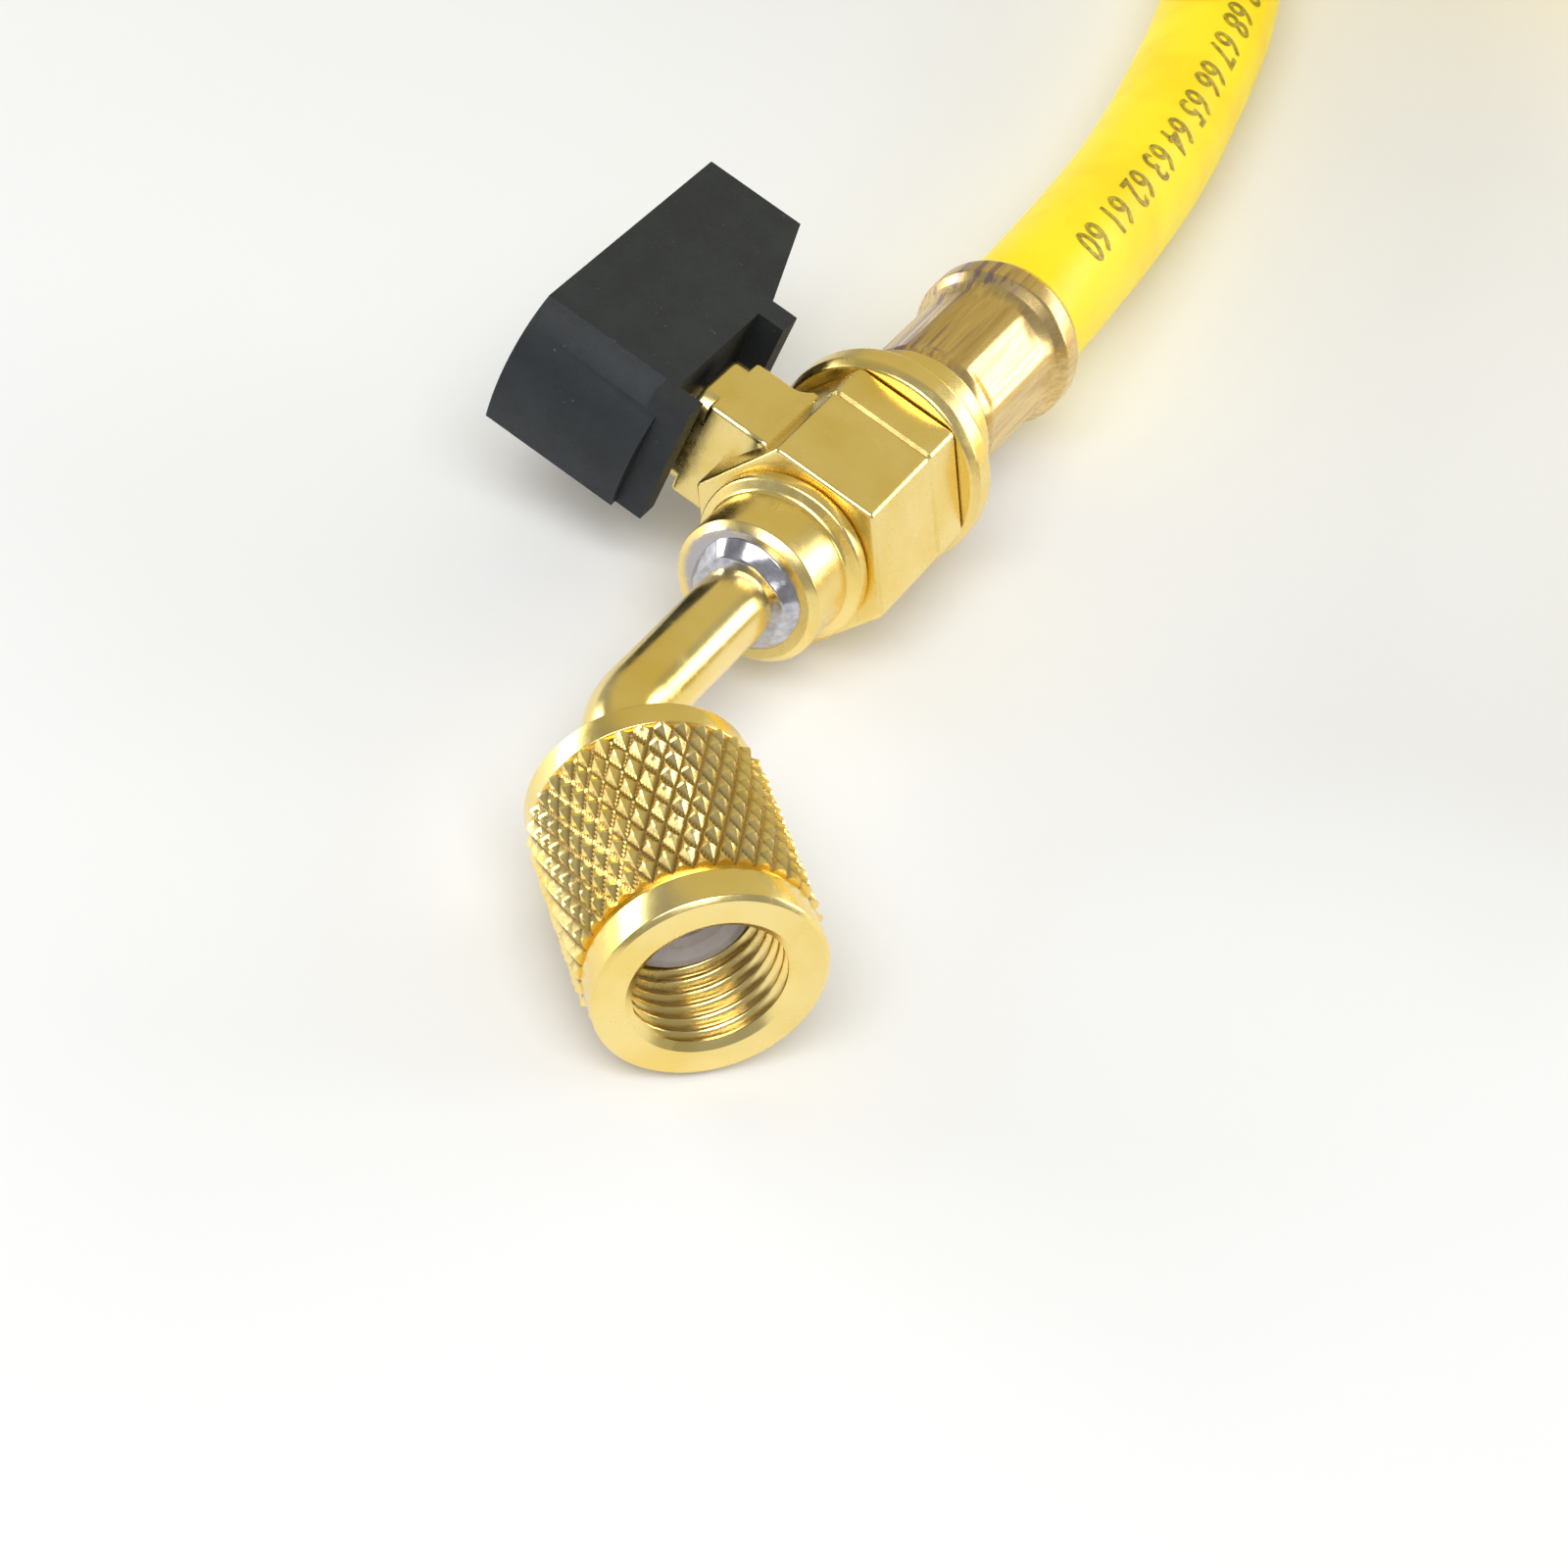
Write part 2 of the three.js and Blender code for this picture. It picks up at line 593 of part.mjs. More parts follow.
// Ferrule with its front at x = 0: a crimped barrel and a bead towards the hose
function ferruleGeometry() {
  const wall = FERRULE_RADIUS - FERRULE_WALL;
  const barrelEnd = FERRULE_LENGTH - BEAD_LENGTH;
  const mouth = HOSE_RADIUS + GAP;
  const shell = ring([
    [0, BARB_RADIUS + GAP],
    [0, FERRULE_RADIUS - 0.5],
    [1.2, FERRULE_RADIUS],
    [barrelEnd, FERRULE_RADIUS],
    [barrelEnd + 0.7, FERRULE_RADIUS + 0.25],
    [barrelEnd + 1.8, BEAD_RADIUS - 0.1],
    [barrelEnd + 2.9, BEAD_RADIUS],
    [barrelEnd + 4.1, BEAD_RADIUS - 0.15],
    [FERRULE_LENGTH, BEAD_RADIUS - 0.9],
    [FERRULE_LENGTH, mouth],
    [barrelEnd + 1.4, mouth],
    [barrelEnd, wall],
    [1, wall],
    [1, BARB_RADIUS + GAP],
  ]);
  const outside = turned([
    [1.6, 0],
    [1.6, 2 * FERRULE_RADIUS],
    [barrelEnd, 2 * FERRULE_RADIUS],
    [barrelEnd, 0],
  ]);
  const flats = toX(pushed(polygon(CRIMP_FLATS, CRIMP_SIDES), 0, FERRULE_LENGTH));
  const waste = solidOf(outside).subtract(solidOf(flats));
  return geometryOf(solidOf(shell).subtract(waste));
}

// The hose's end, squeezed between the barbs and the ferrule
function hoseEndGeometry() {
  const barrelEnd = FERRULE_LENGTH - BEAD_LENGTH;
  const outer = CRIMP_FLATS / 2 - FERRULE_WALL - 2 * GAP;
  return ring([
    [1 + GAP, BARB_RADIUS + GAP],
    [1 + GAP, outer],
    [barrelEnd - GAP, outer],
    [barrelEnd + 1.6, HOSE_RADIUS],
    [FERRULE_LENGTH - GAP / 2, HOSE_RADIUS],
    [FERRULE_LENGTH - GAP / 2, BARB_RADIUS + GAP],
  ]);
}
const ferruleStart = neckEnd + GAP;
const hoseExit = new THREE.Vector3(ferruleStart + FERRULE_LENGTH, 0, axisHeight);
const ferruleFoot = new THREE.Vector3(ferruleStart, 0, axisHeight);
const ferrule = named(
  "ferrule",
  laidAlong(ferruleGeometry(), ferruleFoot, along),
  dullBrass,
);
const hoseEnd = named(
  "hose_end_in_ferrule",
  laidAlong(hoseEndGeometry(), ferruleFoot, along),
  yellowRubber,
);

// Hose: the stretch from the ferrule to the coil
const hoseSection = new THREE.Shape();
for (let i = 0; i < HOSE_SIDES; i++) {
  const angle = ((i + 0.5) * 2 * Math.PI) / HOSE_SIDES;
  const point = [HOSE_RADIUS * Math.cos(angle), HOSE_RADIUS * Math.sin(angle)];
  if (i === 0) hoseSection.moveTo(...point);
  else hoseSection.lineTo(...point);
}
hoseSection.closePath();
function hoseAlong(points) {
  const path = new THREE.CatmullRomCurve3(points, false, "centripetal");
  const steps = Math.max(4, Math.round(path.getLength() / HOSE_STEP));
  return new THREE.ExtrudeGeometry(hoseSection, { steps, extrudePath: path });
}
const coilCentre = new THREE.Vector3(hoseExit.x + COIL_CENTRE[0], COIL_CENTRE[1], 0);
const headed = (angle) => new THREE.Vector3(Math.cos(angle), Math.sin(angle), 0);
const heading = headed(COIL_HEADING);
const coilPoint = (angle) => coilCentre.clone()
  .addScaledVector(headed(angle + Math.PI / 2), COIL_RADIUS);
const coilEntry = coilPoint(COIL_HEADING);
const coilOuter = COIL_RADIUS + HOSE_RADIUS;
const hoseSide = HOSE_RADIUS * Math.cos(Math.PI / HOSE_SIDES);
const clearRun = Math.sqrt((coilOuter + hoseSide + GAP / 2) ** 2 - COIL_RADIUS ** 2);
const hoseStart = hoseExit.clone().addScaledVector(along, GAP);
const hoseStop = coilEntry.clone().addScaledVector(heading, -clearRun).setZ(HOSE_RADIUS);
const hosePoints = [hoseStart];
for (const [x, y, z] of ROUTE) {
  const point = new THREE.Vector3(hoseExit.x + x, y, z);
  if (point.clone().sub(hoseStop).dot(heading) < -HOSE_RADIUS) hosePoints.push(point);
}
hosePoints.push(hoseStop);
const hoseTube = named("hose_tube", hoseAlong(hosePoints), yellowRubber);

// Coil of the rest, as one ring of its outer shape: the turns run clockwise, seen from above
const coilHeight = 2 * HOSE_RADIUS * COIL_LAYERS;
const coilCorner = HOSE_RADIUS * 0.55;
const coilProfile = [
  [COIL_RADIUS - HOSE_RADIUS, coilCorner],
  [COIL_RADIUS - HOSE_RADIUS + coilCorner, 0],
  [coilOuter - coilCorner, 0],
  [coilOuter, coilCorner],
  [coilOuter, coilHeight - coilCorner],
  [coilOuter - coilCorner, coilHeight],
  [COIL_RADIUS - HOSE_RADIUS + coilCorner, coilHeight],
  [COIL_RADIUS - HOSE_RADIUS, coilHeight - coilCorner],
  [COIL_RADIUS - HOSE_RADIUS, coilCorner],
].map(([r, z]) => new THREE.Vector2(r, z));
const coilGeometry = new THREE.LatheGeometry(coilProfile, 48).rotateX(Math.PI / 2)
  .translate(coilCentre.x, coilCentre.y, 0);
const coil = named("hose_coil", coilGeometry, yellowRubber);

// Last stretch, off the top turn and down to the far fitting
const topTurn = coilHeight - HOSE_RADIUS;
const tailWay = headed(TAIL_HEADING);
const tailFoot = coilPoint(TAIL_HEADING);
const tailPoints = [tailFoot.clone().addScaledVector(tailWay, clearRun).setZ(topTurn - TAIL_DIP)];
for (const [way, z] of TAIL_ROUTE) {
  tailPoints.push(tailFoot.clone().addScaledVector(tailWay, way).setZ(z));
}
const farFoot = tailFoot.clone().addScaledVector(tailWay, TAIL_LENGTH).setZ(KNURL_RADIUS);
tailPoints.push(farFoot.clone().addScaledVector(tailWay, -GAP));
const hoseTail = named("hose_tail", hoseAlong(tailPoints), yellowRubber);

// Far end: ferrule, straight tail with its nipple, seal and swivel nut
const homeWay = tailWay.clone().negate();
const farNeck = farFoot.clone().addScaledVector(tailWay, FERRULE_LENGTH);
const farFerrule = named(
  "far_ferrule",
  laidAlong(ferruleGeometry(), farNeck, homeWay),
  dullBrass,
);
const farHoseEnd = named(
  "hose_end_in_far_ferrule",
  laidAlong(hoseEndGeometry(), farNeck, homeWay),
  yellowRubber,
);
const farNeckLength = NECK_LENGTH;
const farNutBack = farNeck.clone().addScaledVector(tailWay, 2 * GAP + farNeckLength);
const farMouth = farNutBack.clone().addScaledVector(tailWay, NUT_LENGTH);
const nippleBack = NUT_LENGTH - BACK_WALL - GAP;
const farNeckStart = NUT_LENGTH + GAP;
const farNeckEnd = farNeckStart + farNeckLength;
const farBarbEnd = farNeckEnd + GAP + FERRULE_LENGTH - BEAD_LENGTH;
const farTailProfile = [
  [nippleFront, TAIL_BORE],
  [nippleFront, NIPPLE_RADIUS],
  [nippleBack, NIPPLE_RADIUS],
  [nippleBack, TUBE_RADIUS],
  [farNeckStart, TUBE_RADIUS],
  [farNeckStart, NECK_RADIUS],
  [farNeckEnd, NECK_RADIUS],
  ...barbPoints(farNeckEnd),
  [farBarbEnd, BARB_ROOT],
  [farBarbEnd, TAIL_BORE],
];
const farTail = named(
  "far_fitting",
  laidAlong(ring(farTailProfile), farMouth, homeWay),
  brass,
);
const farSeal = named("far_seal", laidAlong(sealGeometry(), farMouth, homeWay), whitePlastic);
const farNut = named("far_nut", laidAlong(nutGeometry(), farMouth, homeWay), brass);

// The whole part, with the head centred over the origin
const head = [
  nut, seal, tube, solderBead, body, ball, frontSeat, rearSeat,
  stem, lever, screw, tail, ferrule, hoseEnd,
];
const cord = [hoseTube, coil, hoseTail, farFerrule, farHoseEnd, farTail, farSeal, farNut];
const headBox = new THREE.Box3();
for (const mesh of head) {
  mesh.geometry.computeBoundingBox();
  headBox.union(mesh.geometry.boundingBox);
}
const shift = headBox.getCenter(new THREE.Vector3()).negate().setZ(-headBox.min.z);
const part = new THREE.Group();
part.name = "charging_hose";
for (const mesh of [...head, ...cord]) {
  mesh.geometry.translate(shift.x, shift.y, shift.z);
  part.add(mesh);
}

export default part;
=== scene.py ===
"""Refrigerant charging hose with a quarter-turn ball valve, dressed for its picture.

Metres in the world; pieces are shaped in millimetres in their own frames and then placed.
"""

import json
import math

import bmesh
import bpy
from mathutils import Matrix, Quaternion, Vector, noise
from mathutils.geometry import interpolate_bezier


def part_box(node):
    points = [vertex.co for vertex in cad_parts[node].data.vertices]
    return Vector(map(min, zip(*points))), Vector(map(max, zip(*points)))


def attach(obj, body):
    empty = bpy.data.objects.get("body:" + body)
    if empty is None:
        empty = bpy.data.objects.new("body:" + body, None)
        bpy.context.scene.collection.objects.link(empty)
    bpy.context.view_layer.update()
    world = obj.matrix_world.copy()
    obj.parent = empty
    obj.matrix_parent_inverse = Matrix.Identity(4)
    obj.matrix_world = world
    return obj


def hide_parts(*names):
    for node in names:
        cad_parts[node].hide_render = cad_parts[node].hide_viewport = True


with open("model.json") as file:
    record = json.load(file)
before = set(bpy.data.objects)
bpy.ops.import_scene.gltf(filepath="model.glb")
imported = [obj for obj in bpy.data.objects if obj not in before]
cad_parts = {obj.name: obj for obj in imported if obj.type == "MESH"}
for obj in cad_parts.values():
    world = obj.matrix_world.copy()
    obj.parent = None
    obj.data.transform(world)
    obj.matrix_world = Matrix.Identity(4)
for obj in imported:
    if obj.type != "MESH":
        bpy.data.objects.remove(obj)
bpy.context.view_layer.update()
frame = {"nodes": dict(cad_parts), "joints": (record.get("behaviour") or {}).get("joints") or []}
scene = bpy.context.scene
MM = 0.001

# Camera
# The picture is taken by hand from about 0.3 m, looking 40 degrees down over the nut's mouth,
# with the camera rolled by 10 degrees. The focal length is in pixels of the square picture.
PICTURE_SIDE = 1600
FOCAL_PIXELS = 3928.4
SENSOR = 36
CAMERA_PLACE = Vector((-221.71, -97.98, 193.40)) * MM
CAMERA_AZIMUTH = math.radians(22.33)
CAMERA_DOWN = math.radians(40)
CAMERA_ROLL = math.radians(9.99)
CLIP_NEAR = 10 * MM
CLIP_FAR = 20

camera = bpy.data.objects.new("camera", bpy.data.cameras.new("camera"))
scene.collection.objects.link(camera)
scene.camera = camera
camera.data.sensor_width = SENSOR
camera.data.lens = FOCAL_PIXELS / PICTURE_SIDE * SENSOR
camera.data.clip_start = CLIP_NEAR
camera.data.clip_end = CLIP_FAR
looking = Vector((
    math.cos(CAMERA_AZIMUTH) * math.cos(CAMERA_DOWN),
    math.sin(CAMERA_AZIMUTH) * math.cos(CAMERA_DOWN),
    -math.sin(CAMERA_DOWN),
))
camera.location = CAMERA_PLACE
camera.rotation_mode = "QUATERNION"
camera.rotation_quaternion = looking.to_track_quat("-Z", "Y") @ Quaternion((0, 0, 1), CAMERA_ROLL)

# Hose
# Extruded yellow hose, 12 mm across, with a smooth, slightly glossy skin. It leaves the crimped
# ferrule, sinks to the table, and the length that the picture does not show lies in a coil of
# three and a half turns, from which the last stretch comes down to the far fitting.
HOSE_RADIUS = 6 * MM
HOSE_INSIDE_FERRULE = 4 * MM
HOSE_STEPS_ALONG = 8
HOSE_STEPS_ROUND = 10
EXIT_ASIDE = 0.05 * MM
# Ahead, aside and height in millimetres, from under the ferrule's mouth
ROUTE = [
    (4, 0.05, 9.5),
    (11.5, 0.65, 8.8),
    (30, 2.6, 7),
    (41, 4.1, 6.3),
    (52, 6.1, 6),
    (70, 10.1, 6),
    (90, 16.7, 6),
    (112, 23.4, 6),
    (135, 29.3, 6),
    (155, 33.4, 6),
]
COIL_CENTRE = Vector((183.8, -24.8, 0)) * MM
COIL_RADIUS = 61.5 * MM
COIL_HEADING = math.radians(8)
TAIL_HEADING = math.radians(177)
FULL_TURNS = 3
CLIMB_START = math.radians(285)
CLIMB_END = math.radians(340)
POINTS_PER_TURN = 24
# Ahead and height in millimetres, from where the last stretch leaves the coil
TAIL_ROUTE = [
    (14, 41.4),
    (30, 39.4),
    (46, 35.5),
    (60, 31.4),
    (80, 23.7),
    (100, 16.2),
    (120, 11),
    (133, 9.5),
]
TAIL_LENGTH = 145 * MM

ferrule_low, ferrule_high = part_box("ferrule")
hose_exit = (ferrule_low + ferrule_high) / 2
hose_exit.x = ferrule_high.x


def headed(angle):
    return Vector((math.cos(angle), math.sin(angle), 0))


def clamped(share):
    return min(max(share, 0), 1)


table_exit = Vector((hose_exit.x, hose_exit.y + EXIT_ASIDE, 0))
coil_centre = table_exit + COIL_CENTRE
sweep = FULL_TURNS * 2 * math.pi + COIL_HEADING + math.pi - (TAIL_HEADING - math.pi)
tail_way = headed(TAIL_HEADING)
tail_foot = coil_centre + COIL_RADIUS * headed(TAIL_HEADING + math.pi / 2)
far_low, far_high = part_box("far_nut")
far_foot = tail_foot + tail_way * TAIL_LENGTH
far_foot.z = (far_low.z + far_high.z) / 2

route = [hose_exit - Vector((HOSE_INSIDE_FERRULE, 0, 0)), hose_exit.copy()]
for ahead, aside, height in ROUTE:
    route.append(table_exit + Vector((ahead, aside, height)) * MM)
coil_steps = round(sweep / (2 * math.pi) * POINTS_PER_TURN)
for step in range(coil_steps + 1):
    wound = sweep * step / coil_steps
    layer = math.floor(wound / (2 * math.pi))
    climb = clamped((wound - 2 * math.pi * layer - CLIMB_START) / (CLIMB_END - CLIMB_START))
    height = HOSE_RADIUS * (1 + 2 * (layer + climb * climb * (3 - 2 * climb)))
    spoke = headed(COIL_HEADING + math.pi / 2 - wound)
    route.append(coil_centre + COIL_RADIUS * spoke + Vector((0, 0, height)))
for ahead, height in TAIL_ROUTE:
    route.append(tail_foot + tail_way * ahead * MM + Vector((0, 0, height * MM)))
route.append(far_foot)
route.append(far_foot + tail_way * HOSE_INSIDE_FERRULE)

hose_curve = bpy.data.curves.new("hose", "CURVE")
hose_curve.dimensions = "3D"
hose_curve.resolution_u = HOSE_STEPS_ALONG
hose_curve.bevel_depth = HOSE_RADIUS
hose_curve.bevel_resolution = HOSE_STEPS_ROUND
hose_curve.use_fill_caps = True
spline = hose_curve.splines.new("BEZIER")
spline.bezier_points.add(len(route) - 1)
for knot, place in zip(spline.bezier_points, route):
    knot.co = place
    knot.handle_left_type = "AUTO"
    knot.handle_right_type = "AUTO"
hose = bpy.data.objects.new("hose", hose_curve)
scene.collection.objects.link(hose)


class Value:
    """One output of a shader node. Python's operators on it add the Math nodes."""

    def __init__(self, finish, socket):
        self.finish = finish
        self.socket = socket

    def maths(self, operation, *others):
        return self.finish.node("Math", {"operation": operation}, dict(enumerate((self, *others))))

    def __add__(self, other):
        return self.maths("ADD", other)

    def __radd__(self, other):
        return self.maths("ADD", other)

    def __sub__(self, other):
        return self.maths("SUBTRACT", other)

    def __rsub__(self, other):
        return self.finish.node("Math", {"operation": "SUBTRACT"}, {0: other, 1: self})

    def __mul__(self, other):
        return self.maths("MULTIPLY", other)

    def __rmul__(self, other):
        return self.maths("MULTIPLY", other)

    def __pow__(self, other):
        return self.maths("POWER", other)

    def within(self, low, high):
        """0 below low, 1 above high, and a smooth step between them."""
        settings = {"interpolation_type": "SMOOTHSTEP"}
        values = {"Value": self, "From Min": low, "From Max": high}
        return self.finish.node("MapRange", settings, values)

    def part(self, name):
        """Another output of the same node."""
        return Value(self.finish, self.socket.node.outputs[name])


class Finish:
    """The node tree of a material, or of the room, with its shader at the end."""

    def __init__(self, name, room=None):
        self.owner = room or bpy.data.materials.new(name)
        self.owner.use_nodes = True
        self.tree = self.owner.node_tree
        self.shader = self.tree.nodes["Background" if room else "Principled BSDF"]

    def node(self, kind, settings=None, values=None):
        made = self.tree.nodes.new("ShaderNode" + kind)
        for name, setting in (settings or {}).items():
            setattr(made, name, setting)
        for name, value in (values or {}).items():
            self.put(made.inputs[name], value)
        shown = [output for output in made.outputs if output.enabled]
        return Value(self, shown[0])

    def put(self, socket, value):
        if isinstance(value, Value):
            self.tree.links.new(value.socket, socket)
        elif socket.type == "RGBA" and len(value) == 3:
            socket.default_value = (*value, 1)
        else:
            socket.default_value = value

    def surface(self, **values):
        for name, value in values.items():
            self.put(self.shader.inputs[name.replace("_", " ")], value)
        return self.owner

    def mixed(self, share, first, second):
        settings = {"data_type": "RGBA"}
        return self.node("Mix", settings, {"Factor": share, 6: first, 7: second}).part(2)

    def here(self, matrix=Matrix()):
        """Position in the piece's own frame, in millimetres."""
        place, turn, _ = matrix.decompose()
        coordinates = self.node("TexCoord").part("Object")
        return self.node("Mapping", {"vector_type": "TEXTURE"}, {
            "Vector": coordinates, "Location": place,
            "Rotation": turn.to_euler(), "Scale": (MM,) * 3,
        })

    def split(self, vector):
        apart = self.node("SeparateXYZ", None, {"Vector": vector})
        return apart, apart.part("Y"), apart.part("Z")

    def grain(self, place, scale, detail=3, roughness=0.5):
        """Soft noise from 0 to 1 about the middle; scale is in cells per millimetre."""
        return self.node("TexNoise", None, {
            "Vector": place, "Scale": scale, "Detail": detail, "Roughness": roughness,
        })

    def raised(self, height, distance, strength=1, under=None):
        values = {"Height": height, "Distance": distance, "Strength": strength}
        if under:
            values["Normal"] = under
        return self.node("Bump", None, values)


HOSE_YELLOW = (1.0, 0.80, 0.012)
HOSE_YELLOW_DEEP = (0.98, 0.70, 0.006)

hose_finish = Finish("yellow_hose")
place = hose_finish.here()
cloudy = hose_finish.grain(place, 0.12, 2)
pores = hose_finish.grain(place, 5, 4, 0.6)
hose_curve.materials.append(hose_finish.surface(
    Base_Color=hose_finish.mixed(cloudy.within(0.35, 0.75), HOSE_YELLOW, HOSE_YELLOW_DEEP),
    Roughness=0.36 + 0.12 * pores,
    Specular_IOR_Level=0.4,
    Subsurface_Weight=0.12,
    Subsurface_Radius=(1.0, 0.7, 0.1),
    Subsurface_Scale=0.6 * MM,
    Normal=hose_finish.raised(pores, 0.02 * MM, 0.5),
))
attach(hose, "valve")
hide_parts("hose_tube", "hose_coil", "hose_tail")

# Length marks
# Plain numbers in faded dark ink along the hose, read towards the ferrule, as a measuring scale.
MARKS = "70 69 68 67 66 65 64 63 62 61 60"
MARK_SIZE = 4.6
MARK_WEIGHT = 0.045
MARK_SPACING = 1.1
MARK_START = 79
MARK_TURN = math.radians(-27)
MARKED_KNOTS = range(1, 11)
STEPS_PER_KNOT = 32
INK_HEIGHT = 0.04
SLICES = 14
INK = (0.20, 0.15, 0.012)
INK_WORN = (0.60, 0.44, 0.02)


def sliced(shape, place, across, **options):
    """New edges where a plane cuts the shape's faces."""
    return bmesh.ops.bisect_plane(shape, geom=shape.verts[:] + shape.edges[:] + shape.faces[:],
                                  plane_co=place, plane_no=across, **options)


ink_text = bpy.data.curves.new("length_marks", "FONT")
ink_text.body = MARKS
ink_text.size = MARK_SIZE
ink_text.align_y = "CENTER"
ink_text.space_character = MARK_SPACING
ink_text.offset = MARK_WEIGHT
ink_object = bpy.data.objects.new("length_marks", ink_text)
scene.collection.objects.link(ink_object)
depsgraph = bpy.context.evaluated_depsgraph_get()
ink_shape = bmesh.new()
ink_shape.from_mesh(ink_object.evaluated_get(depsgraph).to_mesh())
bpy.data.objects.remove(ink_object)
for slice_number in range(1, SLICES):
    height = MARK_SIZE * (slice_number / SLICES - 0.5)
    sliced(ink_shape, (0, height, 0), (0, 1, 0))
centre_line = []
knots = hose.evaluated_get(depsgraph).data.splines[0].bezier_points
for number in MARKED_KNOTS:
    knot, following = knots[number], knots[number + 1]
    centre_line += interpolate_bezier(knot.co, knot.handle_right, following.handle_left,
                                      following.co, STEPS_PER_KNOT + 1)[:-1]
travelled = [0]
for place, following in zip(centre_line, centre_line[1:]):
    travelled.append(travelled[-1] + (following - place).length / MM)
for knot in ink_shape.verts:
    way_along = MARK_START - knot.co.x
    stretch = max(k for k in range(len(travelled) - 1) if travelled[k] <= way_along)
    share = (way_along - travelled[stretch]) / (travelled[stretch + 1] - travelled[stretch])
    ahead = (centre_line[stretch + 1] - centre_line[stretch]).normalized()
    aside = Vector((0, 0, 1)).cross(ahead).normalized()
    angle = MARK_TURN - knot.co.y * MM / HOSE_RADIUS
    out = math.sin(angle) * aside + math.cos(angle) * ahead.cross(aside)
    middle = centre_line[stretch].lerp(centre_line[stretch + 1], share)
    knot.co = middle + (HOSE_RADIUS + INK_HEIGHT * MM) * out
bmesh.ops.recalc_face_normals(ink_shape, faces=ink_shape.faces)
ink_mesh = bpy.data.meshes.new("length_marks")
ink_shape.to_mesh(ink_mesh)
ink_shape.free()
ink = bpy.data.objects.new("length_marks", ink_mesh)
scene.collection.objects.link(ink)
ink_finish = Finish("faded_ink")
fading = ink_finish.grain(ink_finish.here(), 1.6, 4, 0.7)
ink_mesh.materials.append(ink_finish.surface(
    Base_Color=ink_finish.mixed(fading.within(0.35, 0.7), INK, INK_WORN),
    Roughness=0.45,
))
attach(ink, "valve")

# Swivel nuts
# Free-turning brass nuts, turned from bar: a diamond-knurled grip between two plain bands, and a
# half-inch fine thread in the mouth. The near one is in front in the picture; the far one is alike.
NUT_LENGTH = 20.9
NUT_FACE_RADIUS = 8.34
BAND_RADIUS = 8.7
EDGE_BREAK = 0.32
FRONT_BAND_END = 2.95
FRONT_GROOVE = 3.15
GRIP_START = 3.5
GRIP_END = 18.1
GRIP_STEP = 0.02
REAR_GROOVE_END = 18.4
REAR_BAND_START = 18.55
GRIP_ROOT = 8.62
GRIP_CREST = 9.15
UNDERCUT = 8.3
DIAMONDS = 36
DIAMOND_LENGTH = 3.2
STEPS_PER_HALF = 5
DIAMOND_FULLNESS = 1.18
MOUTH_RADIUS = 6.3
MOUTH_CHAMFER = 0.45
THREAD_CREST = 5.7
THREAD_ROOT = 6.4
THREAD_PITCH = 1.27
THREAD_END = 9.2
STEPS_PER_PITCH = 10
THREAD_FLAT = 0.14
THREAD_FLANK = 0.74
THREAD_LEAD_IN = 0.35
THREAD_RUN_OUT = 0.6
RELIEF_END = 17.5
NIPPLE_BORE = 5.5
BACK_BORE = 3.475
SHARP_CORNER = math.radians(35)
TOUCHING = 1e-4

joints = {joint["name"]: joint for joint in frame["joints"]}


def facing(way, place, up=Vector((0, 0, 1))):
    """Frame of a turned piece: its X along the way, its Z as near up as it goes."""
    ahead = Vector(way).normalized()
    aside = up.cross(ahead).normalized()
    turn = Matrix((ahead, aside, ahead.cross(aside))).transposed()
    return Matrix.Translation(place) @ turn.to_4x4()


def rounded(corners, arc_steps=4):
    """Closed outline through corners (along, out, radius), each one turned off by its radius."""
    outline = []
    for i, (along, out, radius) in enumerate(corners):
        corner = Vector((along, out))
        if not radius:
            outline.append(corner)
            continue
        back = (Vector(corners[i - 1][:2]) - corner).normalized()
        ahead = (Vector(corners[(i + 1) % len(corners)][:2]) - corner).normalized()
        half = back.angle(ahead) / 2
        centre = corner + (back + ahead).normalized() * radius / math.sin(half)
        start = corner + back * radius / math.tan(half) - centre
        end = corner + ahead * radius / math.tan(half) - centre
        for k in range(arc_steps + 1):
            outline.append(centre + start.slerp(end, k / arc_steps) * radius)
    return outline


def turned(outline, steps):
    """A ring about X, spun from its closed outline."""
    shape = bmesh.new()
    knots = [shape.verts.new((along, 0, out)) for along, out in outline]
    edges = [shape.edges.new(pair) for pair in zip(knots, knots[1:] + knots[:1])]
    bmesh.ops.spin(shape, geom=knots + edges, cent=(0, 0, 0), axis=(1, 0, 0),
                   angle=2 * math.pi, steps=steps, use_merge=True)
    bmesh.ops.recalc_face_normals(shape, faces=shape.faces)
    return softened(shape)


def softened(shape):
    """Smooth shading, broken at corners of more than 35 degrees."""
    for face in shape.faces:
        face.smooth = True
    for edge in shape.edges:
        edge.smooth = not edge.is_manifold or edge.calc_face_angle() < SHARP_CORNER
    return shape


def laid(name, shape, matrix, finish, body, slot, *nodes):
    """The finished piece: its shape in millimetres, put at its place on its body."""
    bmesh.ops.transform(shape, matrix=matrix @ Matrix.Scale(MM, 4), verts=shape.verts)
    mesh = bpy.data.meshes.new(name)
    shape.to_mesh(mesh)
    shape.free()
    mesh.materials.append(finish)
    piece = bpy.data.objects.new(name, mesh)
    scene.collection.objects.link(piece)
    evened = piece.modifiers.new("even_shading", "WEIGHTED_NORMAL")
    evened.keep_sharp = True
    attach(piece, body)
    if nodes:
        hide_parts(*nodes)
    return piece


def zigzag(phase):
    """0 at whole numbers and 1 halfway between them."""
    return 1 - abs(2 * (phase % 1) - 1)


